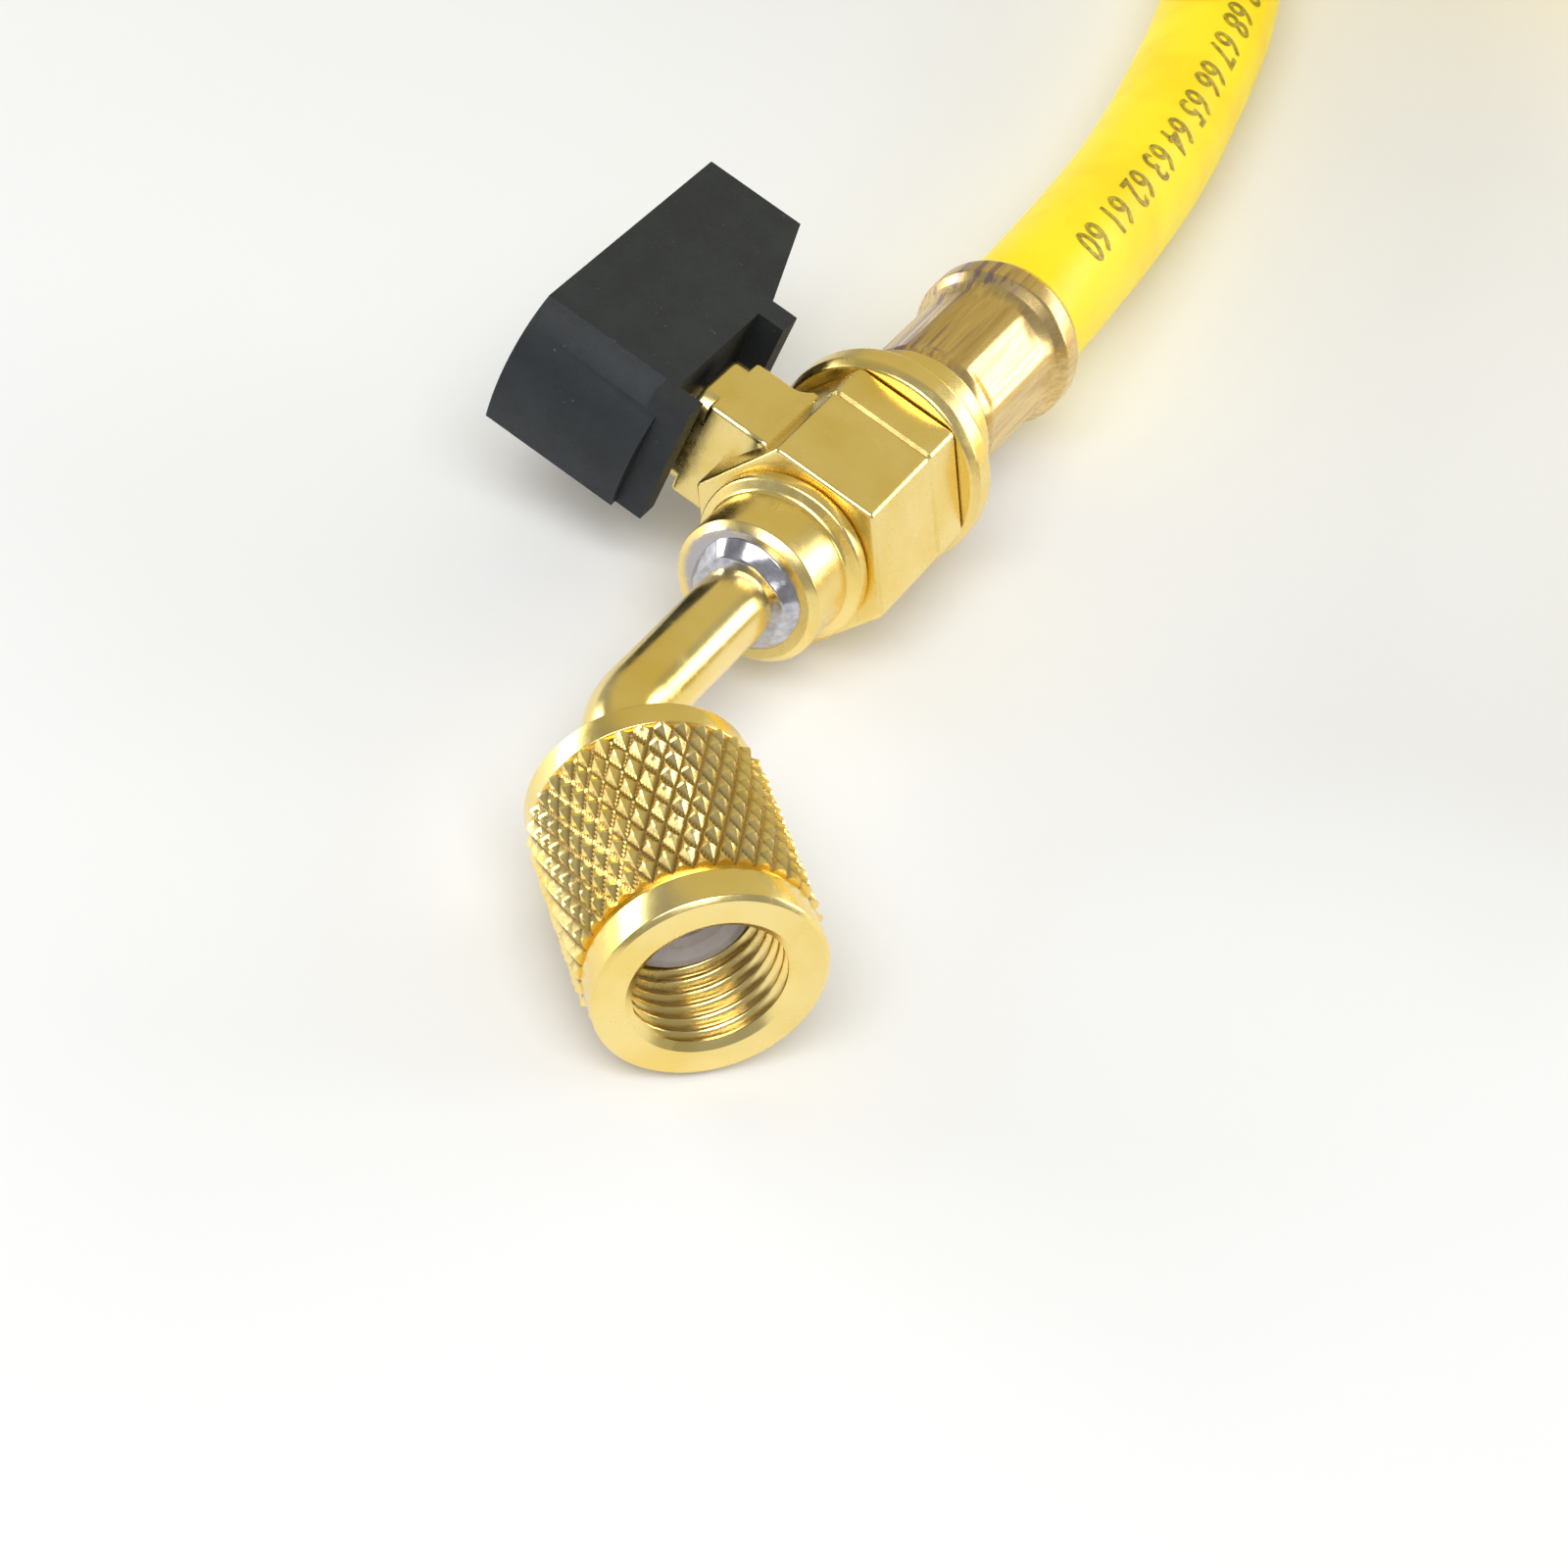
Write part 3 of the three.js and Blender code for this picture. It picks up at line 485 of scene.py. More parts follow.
def drawn_to(knot, radius):
    """Moves a point straight out or in to a radius from the X axis."""
    share = radius / math.hypot(knot.co.y, knot.co.z)
    knot.co.y *= share
    knot.co.z *= share


def nut_shape():
    grip_length = GRIP_END - GRIP_START
    grip_rows = round(grip_length / (DIAMOND_LENGTH / 2 / STEPS_PER_HALF))
    grip = [(GRIP_START + grip_length * i / grip_rows, GRIP_CREST, 0)
            for i in range(grip_rows + 1)]
    fine = THREAD_PITCH / STEPS_PER_PITCH
    thread_rows = round((THREAD_END - MOUTH_CHAMFER) / fine)
    thread = [(THREAD_END - fine * i, THREAD_CREST, 0) for i in range(thread_rows)]
    shape = turned(rounded([
        (0, MOUTH_RADIUS, 0.08),
        (0, NUT_FACE_RADIUS, 0.12),
        (EDGE_BREAK, BAND_RADIUS, 0.2),
        (FRONT_BAND_END, BAND_RADIUS, 0.12),
        (FRONT_GROOVE, UNDERCUT, 0),
        (GRIP_START - GRIP_STEP, UNDERCUT, 0),
        *grip,
        (GRIP_END + GRIP_STEP, UNDERCUT, 0),
        (REAR_GROOVE_END, UNDERCUT, 0),
        (REAR_BAND_START, BAND_RADIUS, 0.12),
        (NUT_LENGTH - EDGE_BREAK, BAND_RADIUS, 0.2),
        (NUT_LENGTH, NUT_FACE_RADIUS, 0.2),
        (NUT_LENGTH, BACK_BORE, 0.15),
        (RELIEF_END, BACK_BORE, 0),
        (RELIEF_END, NIPPLE_BORE, 0),
        (THREAD_END + 2 * THREAD_RUN_OUT, NIPPLE_BORE, 0),
        (THREAD_END + THREAD_RUN_OUT, THREAD_ROOT, 0),
        *thread,
        (MOUTH_CHAMFER, THREAD_CREST, 0),
    ]), 2 * DIAMONDS * STEPS_PER_HALF)
    relief = shape.verts.layers.float.new("relief")
    for knot in shape.verts:
        along, y, z = knot.co
        out = math.hypot(y, z)
        round_share = math.atan2(z, y) / (2 * math.pi)
        knot[relief] = 1
        if abs(out - GRIP_CREST) < TOUCHING:
            across = round_share * DIAMONDS
            lengthwise = (along - GRIP_START) / DIAMOND_LENGTH
            bare = min(zigzag(across + lengthwise), zigzag(across - lengthwise))
            height = min(bare * DIAMOND_FULLNESS, 1)
            knot[relief] = height
            drawn_to(knot, GRIP_ROOT + (GRIP_CREST - GRIP_ROOT) * height)
        elif abs(out - THREAD_CREST) < TOUCHING and along < THREAD_END + TOUCHING:
            turn = zigzag(along / THREAD_PITCH + round_share)
            depth = clamped((turn - THREAD_FLAT) / THREAD_FLANK)
            depth *= clamped((along - MOUTH_CHAMFER) / THREAD_LEAD_IN)
            knot[relief] = 1 - depth
            drawn_to(knot, THREAD_CREST + (THREAD_ROOT - THREAD_CREST) * depth)
    for face in shape.faces:
        middle = face.calc_center_median()
        knurled = math.hypot(middle.y, middle.z) > UNDERCUT
        face.smooth = not (knurled and GRIP_START < middle.x < GRIP_END)
    return shape


BRASS = (0.95, 0.76, 0.31)
BRASS_DEEP = (0.90, 0.68, 0.21)
# Darkest brass, for knurl grooves and thread roots: painted shade with some tarnish
BRASS_GROOVE_SHADE_AND_TARNISH = (0.26, 0.14, 0.03)
SOLDER_SMEAR = (0.50, 0.48, 0.50)
SMEAR_END = (0.05, 0.4)
SMEAR_EDGE = (5.4, 6.1)
SMEAR_WANDER = 1.6
SMEAR_TILT = 0.12
SHADE_AND_TARNISH_DEPTH = (-0.15, 0.6)
LATHE_LINES = 7


def brass(name, matrix, lustre=0.19, lines=1.0, relief=False, smeared=False):
    """Bright turned brass: fine lathe lines round the piece's own axis, cloudy handling marks,
    and painted shade with some tarnish: darker metal at the bottom of what is cut into it."""
    finish = Finish(name)
    place = finish.here(matrix)
    along, y, z = finish.split(place)
    out = (y * y + z * z) ** 0.5
    line_place = finish.node("CombineXYZ", None,
                             {0: along * LATHE_LINES, 1: out * LATHE_LINES})
    lathe = finish.grain(line_place, 1, 4, 0.65)
    cloudy = finish.grain(place, 0.16, 3)
    smudge = finish.grain(place, 0.55, 4, 0.6)
    colour = finish.mixed(cloudy.within(0.35, 0.7), BRASS, BRASS_DEEP)
    roughness = lustre + 0.10 * smudge.within(0.45, 0.75) + 0.05 * lathe
    # Knurl grooves and thread roots are darkened by their relief: painted shade with some tarnish
    if relief:
        depth = finish.node("Attribute", {"attribute_name": "relief"}).part("Fac")
        colour = finish.mixed(1 - depth.within(*SHADE_AND_TARNISH_DEPTH), colour, BRASS_GROOVE_SHADE_AND_TARNISH)
    if smeared:
        reach = out + SMEAR_WANDER * smudge - SMEAR_TILT * (y + z)
        share = (1 - along.within(*SMEAR_END)) * (1 - reach.within(*SMEAR_EDGE))
        colour = finish.mixed(share, colour, SOLDER_SMEAR)
    fine = finish.raised(lathe, 0.006 * MM, 0.35 * lines)
    dents = finish.raised(finish.grain(place, 0.9, 2), 0.02 * MM, 0.35, fine)
    return finish.surface(Base_Color=colour, Metallic=1.0, Roughness=roughness, Normal=dents)


near_joint = joints["near_nut_spin"]
near_frame = facing(-Vector(near_joint["axis"]), Vector(near_joint["pos_m"]))
far_joint = joints["far_nut_spin"]
far_frame = facing(-Vector(far_joint["axis"]), Vector(far_joint["pos_m"]))
laid("near_swivel_nut", nut_shape(), near_frame,
     brass("near_nut_brass", near_frame, relief=True), "near_nut", "brass", "swivel_nut")
far_nut = laid("far_swivel_nut", nut_shape(), far_frame,
               brass("far_nut_brass", far_frame, relief=True), "far_end_nut", "brass", "far_nut")

# Seals
# Moulded ring seals of milky grey plastic, one in each nut, flat against the nipple, with a
# rounded rim and a shallow dish in front.
SEAL_DEPTH = 7.3
SEAL_THICKNESS = 3.4
SEAL_RADIUS = 5.2
SEAL_RIM_RADIUS = 4.4
SEAL_DISH_RADIUS = 3.6
SEAL_DISH_DEPTH = 0.45
SEAL_LIP_DEPTH = 0.25
SEAL_BORE = 2.4
SEAL_GREY = (0.66, 0.64, 0.70)
SEAL_MILK = (0.80, 0.78, 0.83)


def seal_shape():
    return turned(rounded([
        (SEAL_DEPTH + SEAL_LIP_DEPTH, SEAL_BORE, 0.15),
        (SEAL_DEPTH + SEAL_DISH_DEPTH, SEAL_DISH_RADIUS, 0.2),
        (SEAL_DEPTH, SEAL_RIM_RADIUS, 0.25),
        (SEAL_DEPTH, SEAL_RADIUS, 0.3),
        (SEAL_DEPTH + SEAL_THICKNESS, SEAL_RADIUS, 0.2),
        (SEAL_DEPTH + SEAL_THICKNESS, SEAL_BORE, 0.2),
    ]), 96)


def seal_finish(name, matrix):
    finish = Finish(name)
    place = finish.here(matrix)
    haze = finish.grain(place, 0.5, 3)
    return finish.surface(
        Base_Color=finish.mixed(haze, SEAL_GREY, SEAL_MILK),
        Roughness=0.16 + 0.2 * haze,
        Subsurface_Weight=0.4,
        Subsurface_Radius=(1.0, 0.95, 1.0),
        Subsurface_Scale=1.5 * MM,
        Normal=finish.raised(finish.grain(place, 3, 3), 0.01 * MM, 0.5),
    )


laid("near_seal", seal_shape(), near_frame, seal_finish("near_seal_plastic", near_frame),
     "valve", "seal_plastic", "nut_seal")
far_seal = laid("far_end_seal", seal_shape(), far_frame, seal_finish("far_seal_plastic", far_frame),
                "valve", "seal_plastic", "far_seal")

# Bent tube
# Quarter-inch copper-alloy tube, bent by 45 degrees, with the nipple head on its end that the
# nut pulls on. Its other end is soldered into the valve's socket.
TUBE_RADIUS = 3.175
TUBE_BORE = 2.1
BEND_RADIUS = 9
TUBE_BEND = math.radians(45)
BEND_STEPS = 24
TUBE_SIDES = 64
Z_TO_X = Matrix.Rotation(math.pi / 2, 3, "Y")
VALVE_LEG = 16.4
SOCKET_DEPTH = 5.7
NIPPLE_FRONT = 11
NIPPLE_BACK = 17.2
NIPPLE_RADIUS = 5.2
TUBE_START = 12
BODY_LENGTH = 47.6
BODY_TURN = math.radians(15)

socket = Vector((hose_exit.x - BODY_LENGTH * MM, hose_exit.y, hose_exit.z))
valve_frame = Matrix.Translation(socket)
stem_frame = valve_frame @ Matrix.Rotation(BODY_TURN, 4, "X")
nut_way = Vector(near_joint["axis"]).normalized()
tube_side = (nut_way - nut_way.x * Vector((1, 0, 0))).normalized()


def pushed_on(shape, edges, step):
    """Extrudes open rims by one step and gives the new rims."""
    made = bmesh.ops.extrude_edge_only(shape, edges=edges)["geom"]
    knots = [item for item in made if isinstance(item, bmesh.types.BMVert)]
    bmesh.ops.translate(shape, verts=knots, vec=step)
    return [item for item in made if isinstance(item, bmesh.types.BMEdge)
            and all(knot in knots for knot in item.verts)]


tube_shape = bmesh.new()
for radius in (TUBE_RADIUS, TUBE_BORE):
    bmesh.ops.create_circle(tube_shape, segments=TUBE_SIDES, radius=radius)
first_rims = list(tube_shape.edges)
bmesh.ops.rotate(tube_shape, verts=tube_shape.verts, cent=(0, 0, 0), matrix=Z_TO_X)
bmesh.ops.translate(tube_shape, verts=tube_shape.verts, vec=(SOCKET_DEPTH, 0, 0))
rims = pushed_on(tube_shape, first_rims, (-SOCKET_DEPTH, 0, 0))
rims = pushed_on(tube_shape, rims, (-VALVE_LEG, 0, 0))
bend_axis = Vector((1, 0, 0)).cross(tube_side)
bend_centre = Vector((-VALVE_LEG, 0, 0)) + BEND_RADIUS * tube_side
bent = bmesh.ops.spin(tube_shape, geom=rims, cent=bend_centre, axis=bend_axis,
                      angle=-TUBE_BEND, steps=BEND_STEPS)["geom_last"]
rims = [item for item in bent if isinstance(item, bmesh.types.BMEdge)]
bend_spoke = math.cos(TUBE_BEND) * tube_side + math.sin(TUBE_BEND) * Vector((1, 0, 0))
bend_end = bend_centre - BEND_RADIUS * bend_spoke
mouth_place = (Vector(near_joint["pos_m"]) - socket) / MM
rest_of_leg = (mouth_place - bend_end).length - TUBE_START
rims = pushed_on(tube_shape, rims, nut_way * rest_of_leg)
for ends in (first_rims, rims):
    bmesh.ops.bridge_loops(tube_shape, edges=ends)
bmesh.ops.recalc_face_normals(tube_shape, faces=tube_shape.faces)

tube_finish = brass("bent_tube_brass", valve_frame, lustre=0.16, lines=0.3)
laid("bent_tube", softened(tube_shape), valve_frame, tube_finish, "valve", "brass", "bent_tube")
nipple = turned(rounded([
    (NIPPLE_FRONT, TUBE_BORE, 0.2),
    (NIPPLE_FRONT, NIPPLE_RADIUS, 0.3),
    (NIPPLE_BACK, NIPPLE_RADIUS, 0.3),
    (NIPPLE_BACK, TUBE_BORE, 0),
]), TUBE_SIDES)
laid("tube_nipple", nipple, near_frame, tube_finish, "valve", "brass")

# Solder
# Silver solder run round the tube at the socket's mouth: a smooth, uneven bead, with a thin grey
# smear that has spread over the socket's face.
SOLDER_RADIUS = 4.75
SOLDER_HEIGHT = 1.15
SOLDER_OVERLAP = 0.1
SOLDER_TOE = 1.15
SPOT_SIZE = 1.3
SWELL = 0.10
RIPPLE = 0.012
RIPPLE_SCALE = 3.1
SAG = 0.2
SAG_SCALE = 0.8
SOLDER_BRIGHT = (0.62, 0.62, 0.66)
SOLDER_DULL = (0.42, 0.41, 0.45)

solder_shape = turned(rounded([
    (SOLDER_OVERLAP, TUBE_RADIUS - SOLDER_OVERLAP, 0),
    (SOLDER_OVERLAP, SOLDER_RADIUS + 0.15, 0),
    (-SOLDER_OVERLAP, SOLDER_RADIUS + 0.1, 0.1),
    (-SOLDER_HEIGHT, TUBE_RADIUS + 0.75, 0.55),
    (-SOLDER_HEIGHT * SOLDER_TOE, TUBE_RADIUS - SOLDER_OVERLAP, 0),
], 6), 128)
for knot in solder_shape.verts:
    angle = math.atan2(knot.co.z, knot.co.y)
    spot = Vector((math.cos(angle), math.sin(angle), knot.co.x * 0.5)) * SPOT_SIZE
    swell = 1 + SWELL * noise.noise(spot) + RIPPLE * noise.noise(spot * RIPPLE_SCALE)
    if math.hypot(knot.co.y, knot.co.z) > TUBE_RADIUS:
        knot.co.y *= swell
        knot.co.z *= swell
    if knot.co.x < -2 * SOLDER_OVERLAP:
        knot.co.x *= 1 + SAG * noise.noise(spot * SAG_SCALE)

solder_finish = Finish("silver_solder")
place = solder_finish.here(valve_frame)
mottled = solder_finish.grain(place, 1.2, 4, 0.6)
solder_metal = solder_finish.surface(
    Base_Color=solder_finish.mixed(mottled.within(0.3, 0.7), SOLDER_BRIGHT, SOLDER_DULL),
    Metallic=1.0,
    Roughness=0.14 + 0.2 * mottled.within(0.5, 0.85),
    Normal=solder_finish.raised(mottled, 0.02 * MM, 0.4),
)
laid("solder_bead", solder_shape, valve_frame, solder_metal, "valve", "solder", "solder_ring")

# Valve body
# Forged and machined brass body: a round socket with a raised lip for the tube, a hexagon with a
# fine groove round it, and the oblong boss that the stem comes out of, which widens at its foot
# and has round corners where the lever's stops pass.
SOCKET_RADIUS = 6.4
SOCKET_FACE_RADIUS = 5.75
LIP_START = 5.3
LIP_END = 7.1
LIP_RADIUS = 7.4
HEX_START = 7.3
HEX_END = 21.75
HEX_FLATS = 16.1
HEX_EDGE = 0.35
HEX_CHAMFER = 0.375
HEX_BACK_CHAMFER = 0.25
SEAM = 17.35
SEAM_WIDTH = 0.7
SEAM_DEPTH = 0.28
SEAM_SLOPE = 0.28
STEM_PLACE = (HEX_START + HEX_END) / 2
BOSS_WIDTH = 8.1
BOSS_HEIGHT = 9.9
BOSS_CORNER = 2.3
BOSS_BASE = 4
BOSS_END = 13.4
BOSS_BEVEL = 0.55
BOSS_STEP = 0.06
BOSS_SHOULDER = 11.95
BOSS_EDGE = 0.5
BOSS_FOOT = 0.5
BOSS_FOOT_START = 6.6
BOSS_FOOT_END = 8.3
FOOT_STEPS = 5
SOCKET_OVERLAP = 1.5


def bevelled(shape, edges, width, segments=3):
    bmesh.ops.bevel(shape, geom=edges, offset=width, segments=segments, profile=0.5,
                    affect="EDGES", clamp_overlap=True, material=-1)


def edges_along(shape, axis):
    return [edge for edge in shape.edges
            if abs((edge.verts[0].co - edge.verts[1].co).normalized()[axis]) > 0.9]


def edges_at(shape, axis, level):
    return [edge for edge in shape.edges
            if all(abs(knot.co[axis] - level) < TOUCHING for knot in edge.verts)]


def joined(name, shapes):
    """One closed shell of several overlapping ones."""
    objects = []
    for shape in shapes:
        mesh = bpy.data.meshes.new(name)
        shape.to_mesh(mesh)
        shape.free()
        objects.append(bpy.data.objects.new(name, mesh))
        scene.collection.objects.link(objects[-1])
    for other in objects[1:]:
        union = objects[0].modifiers.new("union", "BOOLEAN")
        union.operation = "UNION"
        union.solver = "EXACT"
        union.object = other
    seen = objects[0].evaluated_get(bpy.context.evaluated_depsgraph_get())
    result = bmesh.new()
    result.from_mesh(seen.to_mesh())
    for piece in objects:
        bpy.data.objects.remove(piece)
    return result


hex_corner = HEX_FLATS / math.sqrt(3)
hex_shape = bmesh.new()
bmesh.ops.create_cone(hex_shape, cap_ends=True, segments=6, radius1=hex_corner,
                      radius2=hex_corner, depth=HEX_END - HEX_START)
bmesh.ops.rotate(hex_shape, verts=hex_shape.verts, cent=(0, 0, 0), matrix=Z_TO_X)
bmesh.ops.translate(hex_shape, verts=hex_shape.verts, vec=(STEM_PLACE, 0, 0))
corner_angle = min(math.atan2(knot.co.z, knot.co.y) % (math.pi / 3) for knot in hex_shape.verts)
bmesh.ops.rotate(hex_shape, verts=hex_shape.verts, cent=(0, 0, 0),
                 matrix=Matrix.Rotation(-corner_angle, 3, "X"))
for wall in (SEAM - SEAM_WIDTH / 2, SEAM + SEAM_WIDTH / 2):
    sliced(hex_shape, (wall, 0, 0), (1, 0, 0))
bevelled(hex_shape, edges_along(hex_shape, 0), HEX_EDGE)
seam_faces = [face for face in hex_shape.faces
              if abs(face.calc_center_median().x - SEAM) < SEAM_WIDTH / 4
              and abs(face.normal.x) < 0.5]
bmesh.ops.inset_region(hex_shape, faces=seam_faces, thickness=SEAM_WIDTH * SEAM_SLOPE,
                       depth=-SEAM_DEPTH, use_even_offset=True)
bevelled(hex_shape, edges_at(hex_shape, 0, HEX_START), HEX_CHAMFER)
bevelled(hex_shape, edges_at(hex_shape, 0, HEX_END), HEX_BACK_CHAMFER, 2)

boss_shape = bmesh.new()
bmesh.ops.create_cube(boss_shape, size=1, matrix=Matrix.Diagonal(
    (BOSS_WIDTH - BOSS_STEP, BOSS_END - BOSS_BASE, BOSS_HEIGHT - BOSS_STEP, 1)))
bmesh.ops.translate(boss_shape, verts=boss_shape.verts,
                    vec=(STEM_PLACE, (BOSS_END + BOSS_BASE) / 2, 0))
bevelled(boss_shape, edges_along(boss_shape, 1), BOSS_CORNER, 10)
bevelled(boss_shape, edges_at(boss_shape, 1, BOSS_END), BOSS_BEVEL, 4)

block_shape = bmesh.new()
bmesh.ops.create_cube(block_shape, size=1, matrix=Matrix.Diagonal(
    (BOSS_WIDTH, BOSS_SHOULDER - BOSS_BASE, BOSS_HEIGHT, 1)))
bmesh.ops.translate(block_shape, verts=block_shape.verts,
                    vec=(STEM_PLACE, (BOSS_SHOULDER + BOSS_BASE) / 2, 0))
outer = [edge for edge in block_shape.edges
         if any(knot.co.y > BOSS_SHOULDER - TOUCHING for knot in edge.verts)]
bevelled(block_shape, outer, BOSS_EDGE, 4)
foot_depth = BOSS_FOOT_END - BOSS_FOOT_START
for k in range(FOOT_STEPS + 1):
    sliced(block_shape, (0, BOSS_FOOT_START + foot_depth * k / FOOT_STEPS, 0), (0, 1, 0))
for knot in block_shape.verts:
    flare = BOSS_FOOT * clamped((BOSS_FOOT_END - knot.co.y) / foot_depth) ** 2
    knot.co.x += math.copysign(flare, knot.co.x - STEM_PLACE)
    knot.co.z += math.copysign(flare, knot.co.z)

socket_shape = turned(rounded([
    (0, TUBE_RADIUS, 0),
    (0, SOCKET_FACE_RADIUS, 0.12),
    (0.6, SOCKET_RADIUS, 0.3),
    (LIP_START, SOCKET_RADIUS, 0.5),
    (LIP_START + 0.45, LIP_RADIUS, 0.35),
    (LIP_END, LIP_RADIUS, 0.45),
    (LIP_END + 0.1, SOCKET_RADIUS, 0.15),
    (HEX_START + SOCKET_OVERLAP, SOCKET_RADIUS, 0),
    (HEX_START + SOCKET_OVERLAP, TUBE_RADIUS, 0),
], 5), 128)
body_shape = joined("valve_body", [hex_shape, boss_shape, block_shape, socket_shape])
laid("valve_body_shell", softened(body_shape), stem_frame,
     brass("valve_body_brass", stem_frame, lustre=0.22, lines=0.6, smeared=True),
     "valve", "brass", "valve_body")

# Lever
# Moulded black plastic lever on the stem, with a curved front, a tapered tail and two stops that
# stand over the boss. Its skin has a fine even grain, with soft wear and a few brown specks.
LEVER_FRONT = 9.7
LEVER_REAR = 20.7
LEVER_HEIGHT = 12.1
LEVER_WIDTH = 12.8
LEVER_FLOAT = 1.1
TAIL_HEIGHT = 7
TAPER_LENGTH = 10.5
TAPER = 3.4
STOP_REACH = 2.5
STOP_THICKNESS = 2.2
STOP_FACE = 5.59
REAR_STOP = 7.7
REAR_STOP_THICKNESS = 2.4
STOP_ROOT = 1
LEVER_EDGE = 0.28
CRISP_CORNER = math.radians(32)
FRONT_TOP = 4
FRONT_SHOULDER = (1.4, 1.6)
FRONT_NOSE = (0.6, 0.6)
FRONT_FOOT = 1.2
FRONT_STEPS = 14
LEVER_BLACK = (0.007, 0.0105, 0.014)
LEVER_GREY = (0.013, 0.0175, 0.022)
LEVER_SPECK = (0.09, 0.06, 0.045)

lever_inner = BOSS_END + LEVER_FLOAT
lever_top = LEVER_HEIGHT / 2
front_curve = [
    Vector((-LEVER_FRONT + FRONT_TOP, lever_top)),
    Vector((-LEVER_FRONT + FRONT_SHOULDER[0], lever_top - FRONT_SHOULDER[1])),
    Vector((-LEVER_FRONT - FRONT_NOSE[0], FRONT_NOSE[1])),
    Vector((-LEVER_FRONT + FRONT_FOOT, -lever_top)),
]


def along_curve(points, share):
    """A place on a cubic curve."""
    while len(points) > 1:
        points = [a.lerp(b, share) for a, b in zip(points, points[1:])]
    return points[0]


lever_shape = bmesh.new()
outline = [Vector((LEVER_REAR, lever_top))]
outline += [along_curve(front_curve, k / FRONT_STEPS) for k in range(FRONT_STEPS + 1)]
outline += [Vector((lever_top, -lever_top)), Vector((LEVER_REAR, lever_top - TAIL_HEIGHT))]
side = lever_shape.faces.new([
    lever_shape.verts.new((STEM_PLACE + x, lever_inner, z)) for x, z in outline])
grown = bmesh.ops.extrude_face_region(lever_shape, geom=[side])["geom"]
bmesh.ops.translate(lever_shape, vec=(0, LEVER_WIDTH, 0),
                    verts=[item for item in grown if isinstance(item, bmesh.types.BMVert)])
taper_start = Vector((STEM_PLACE + LEVER_REAR - TAPER_LENGTH, lever_inner, 0))
taper_way = Vector((TAPER_LENGTH, TAPER, 0)).normalized()
cut = sliced(lever_shape, taper_start, (taper_way.y, -taper_way.x, 0), clear_outer=True)
bmesh.ops.contextual_create(lever_shape, geom=[
    item for item in cut["geom_cut"] if isinstance(item, bmesh.types.BMEdge)])
bmesh.ops.recalc_face_normals(lever_shape, faces=lever_shape.faces)


def block(low, high):
    shape = bmesh.new()
    middle = (Vector(low) + Vector(high)) / 2
    size = Vector(high) - Vector(low)
    bmesh.ops.create_cube(shape, size=1,
                          matrix=Matrix.Translation(middle) @ Matrix.Diagonal((*size, 1)))
    return shape


stops = [
    block((STEM_PLACE + near, lever_inner - STOP_REACH, -lever_top),
          (STEM_PLACE + far, lever_inner + STOP_ROOT, lever_top))
    for near, far in ((-STOP_FACE - STOP_THICKNESS, -STOP_FACE),
                      (REAR_STOP, REAR_STOP + REAR_STOP_THICKNESS))
]
lever_shape = joined("lever", [lever_shape, *stops])
crisp = [edge for edge in lever_shape.edges
         if edge.is_manifold and edge.calc_face_angle() > CRISP_CORNER]
bevelled(lever_shape, crisp, LEVER_EDGE)

lever_finish = Finish("black_lever_plastic")
place = lever_finish.here(stem_frame)
grain = lever_finish.grain(place, 6, 3, 0.6)
patches = lever_finish.grain(place, 0.22, 4, 0.6)
wear = lever_finish.grain(place, 1.1, 5, 0.7)
colour = lever_finish.mixed(patches.within(0.35, 0.7), LEVER_BLACK, LEVER_GREY)
specks = lever_finish.grain(place, 2.4, 2).within(0.72, 0.78)
colour = lever_finish.mixed(specks, colour, LEVER_SPECK)
grained = lever_finish.raised(grain, 0.05 * MM, 0.8)
lever_plastic = lever_finish.surface(
    Base_Color=colour,
    Roughness=0.5 + 0.15 * wear,
    Specular_IOR_Level=0.45,
    Normal=lever_finish.raised(wear, 0.08 * MM, 0.5, grained),
)
laid("valve_lever", softened(lever_shape), stem_frame, lever_plastic,
     "lever_and_ball", "lever_plastic", "lever")

# Tail piece
# Turned brass tail, screwed into the body's back: a rounded collar, a plain neck ring and the
# barbed end that the hose is crimped on.
COLLAR_RADIUS = 9.55
COLLAR_START = HEX_END + 0.15
COLLAR_LENGTH = 3.4
NECK_RADIUS = 6.9
NECK_LENGTH = 3
NECK_GAP = 1.6
SPIGOT_RADIUS = 5.3
SPIGOT_LENGTH = 3
BARB_RADIUS = 3.4
BARB_LENGTH = 12
BARB_BORE = 2

neck_start = COLLAR_START + COLLAR_LENGTH + NECK_GAP
neck_end = neck_start + NECK_LENGTH
collar_shape = turned(rounded([
    (COLLAR_START - SPIGOT_LENGTH, SPIGOT_RADIUS, 0),
    (COLLAR_START, SPIGOT_RADIUS, 0),
    (COLLAR_START, COLLAR_RADIUS - 0.35, 0.35),
    (COLLAR_START + 0.9, COLLAR_RADIUS, 0.7),
    (COLLAR_START + COLLAR_LENGTH - 0.5, COLLAR_RADIUS, 0.9),
    (COLLAR_START + COLLAR_LENGTH + 0.8, NECK_RADIUS + 0.9, 0.5),
    (neck_start, NECK_RADIUS, 0.3),
    (neck_end, NECK_RADIUS, 0.3),
    (neck_end, BARB_RADIUS, 0),
    (neck_end + BARB_LENGTH, BARB_RADIUS, 0.4),
    (neck_end + BARB_LENGTH, BARB_BORE, 0.2),
    (COLLAR_START - SPIGOT_LENGTH, BARB_BORE, 0),
], 6), 160)
laid("collar_and_neck", collar_shape, valve_frame,
     brass("tail_piece_brass", valve_frame, lustre=0.22), "valve", "brass", "tail_piece")

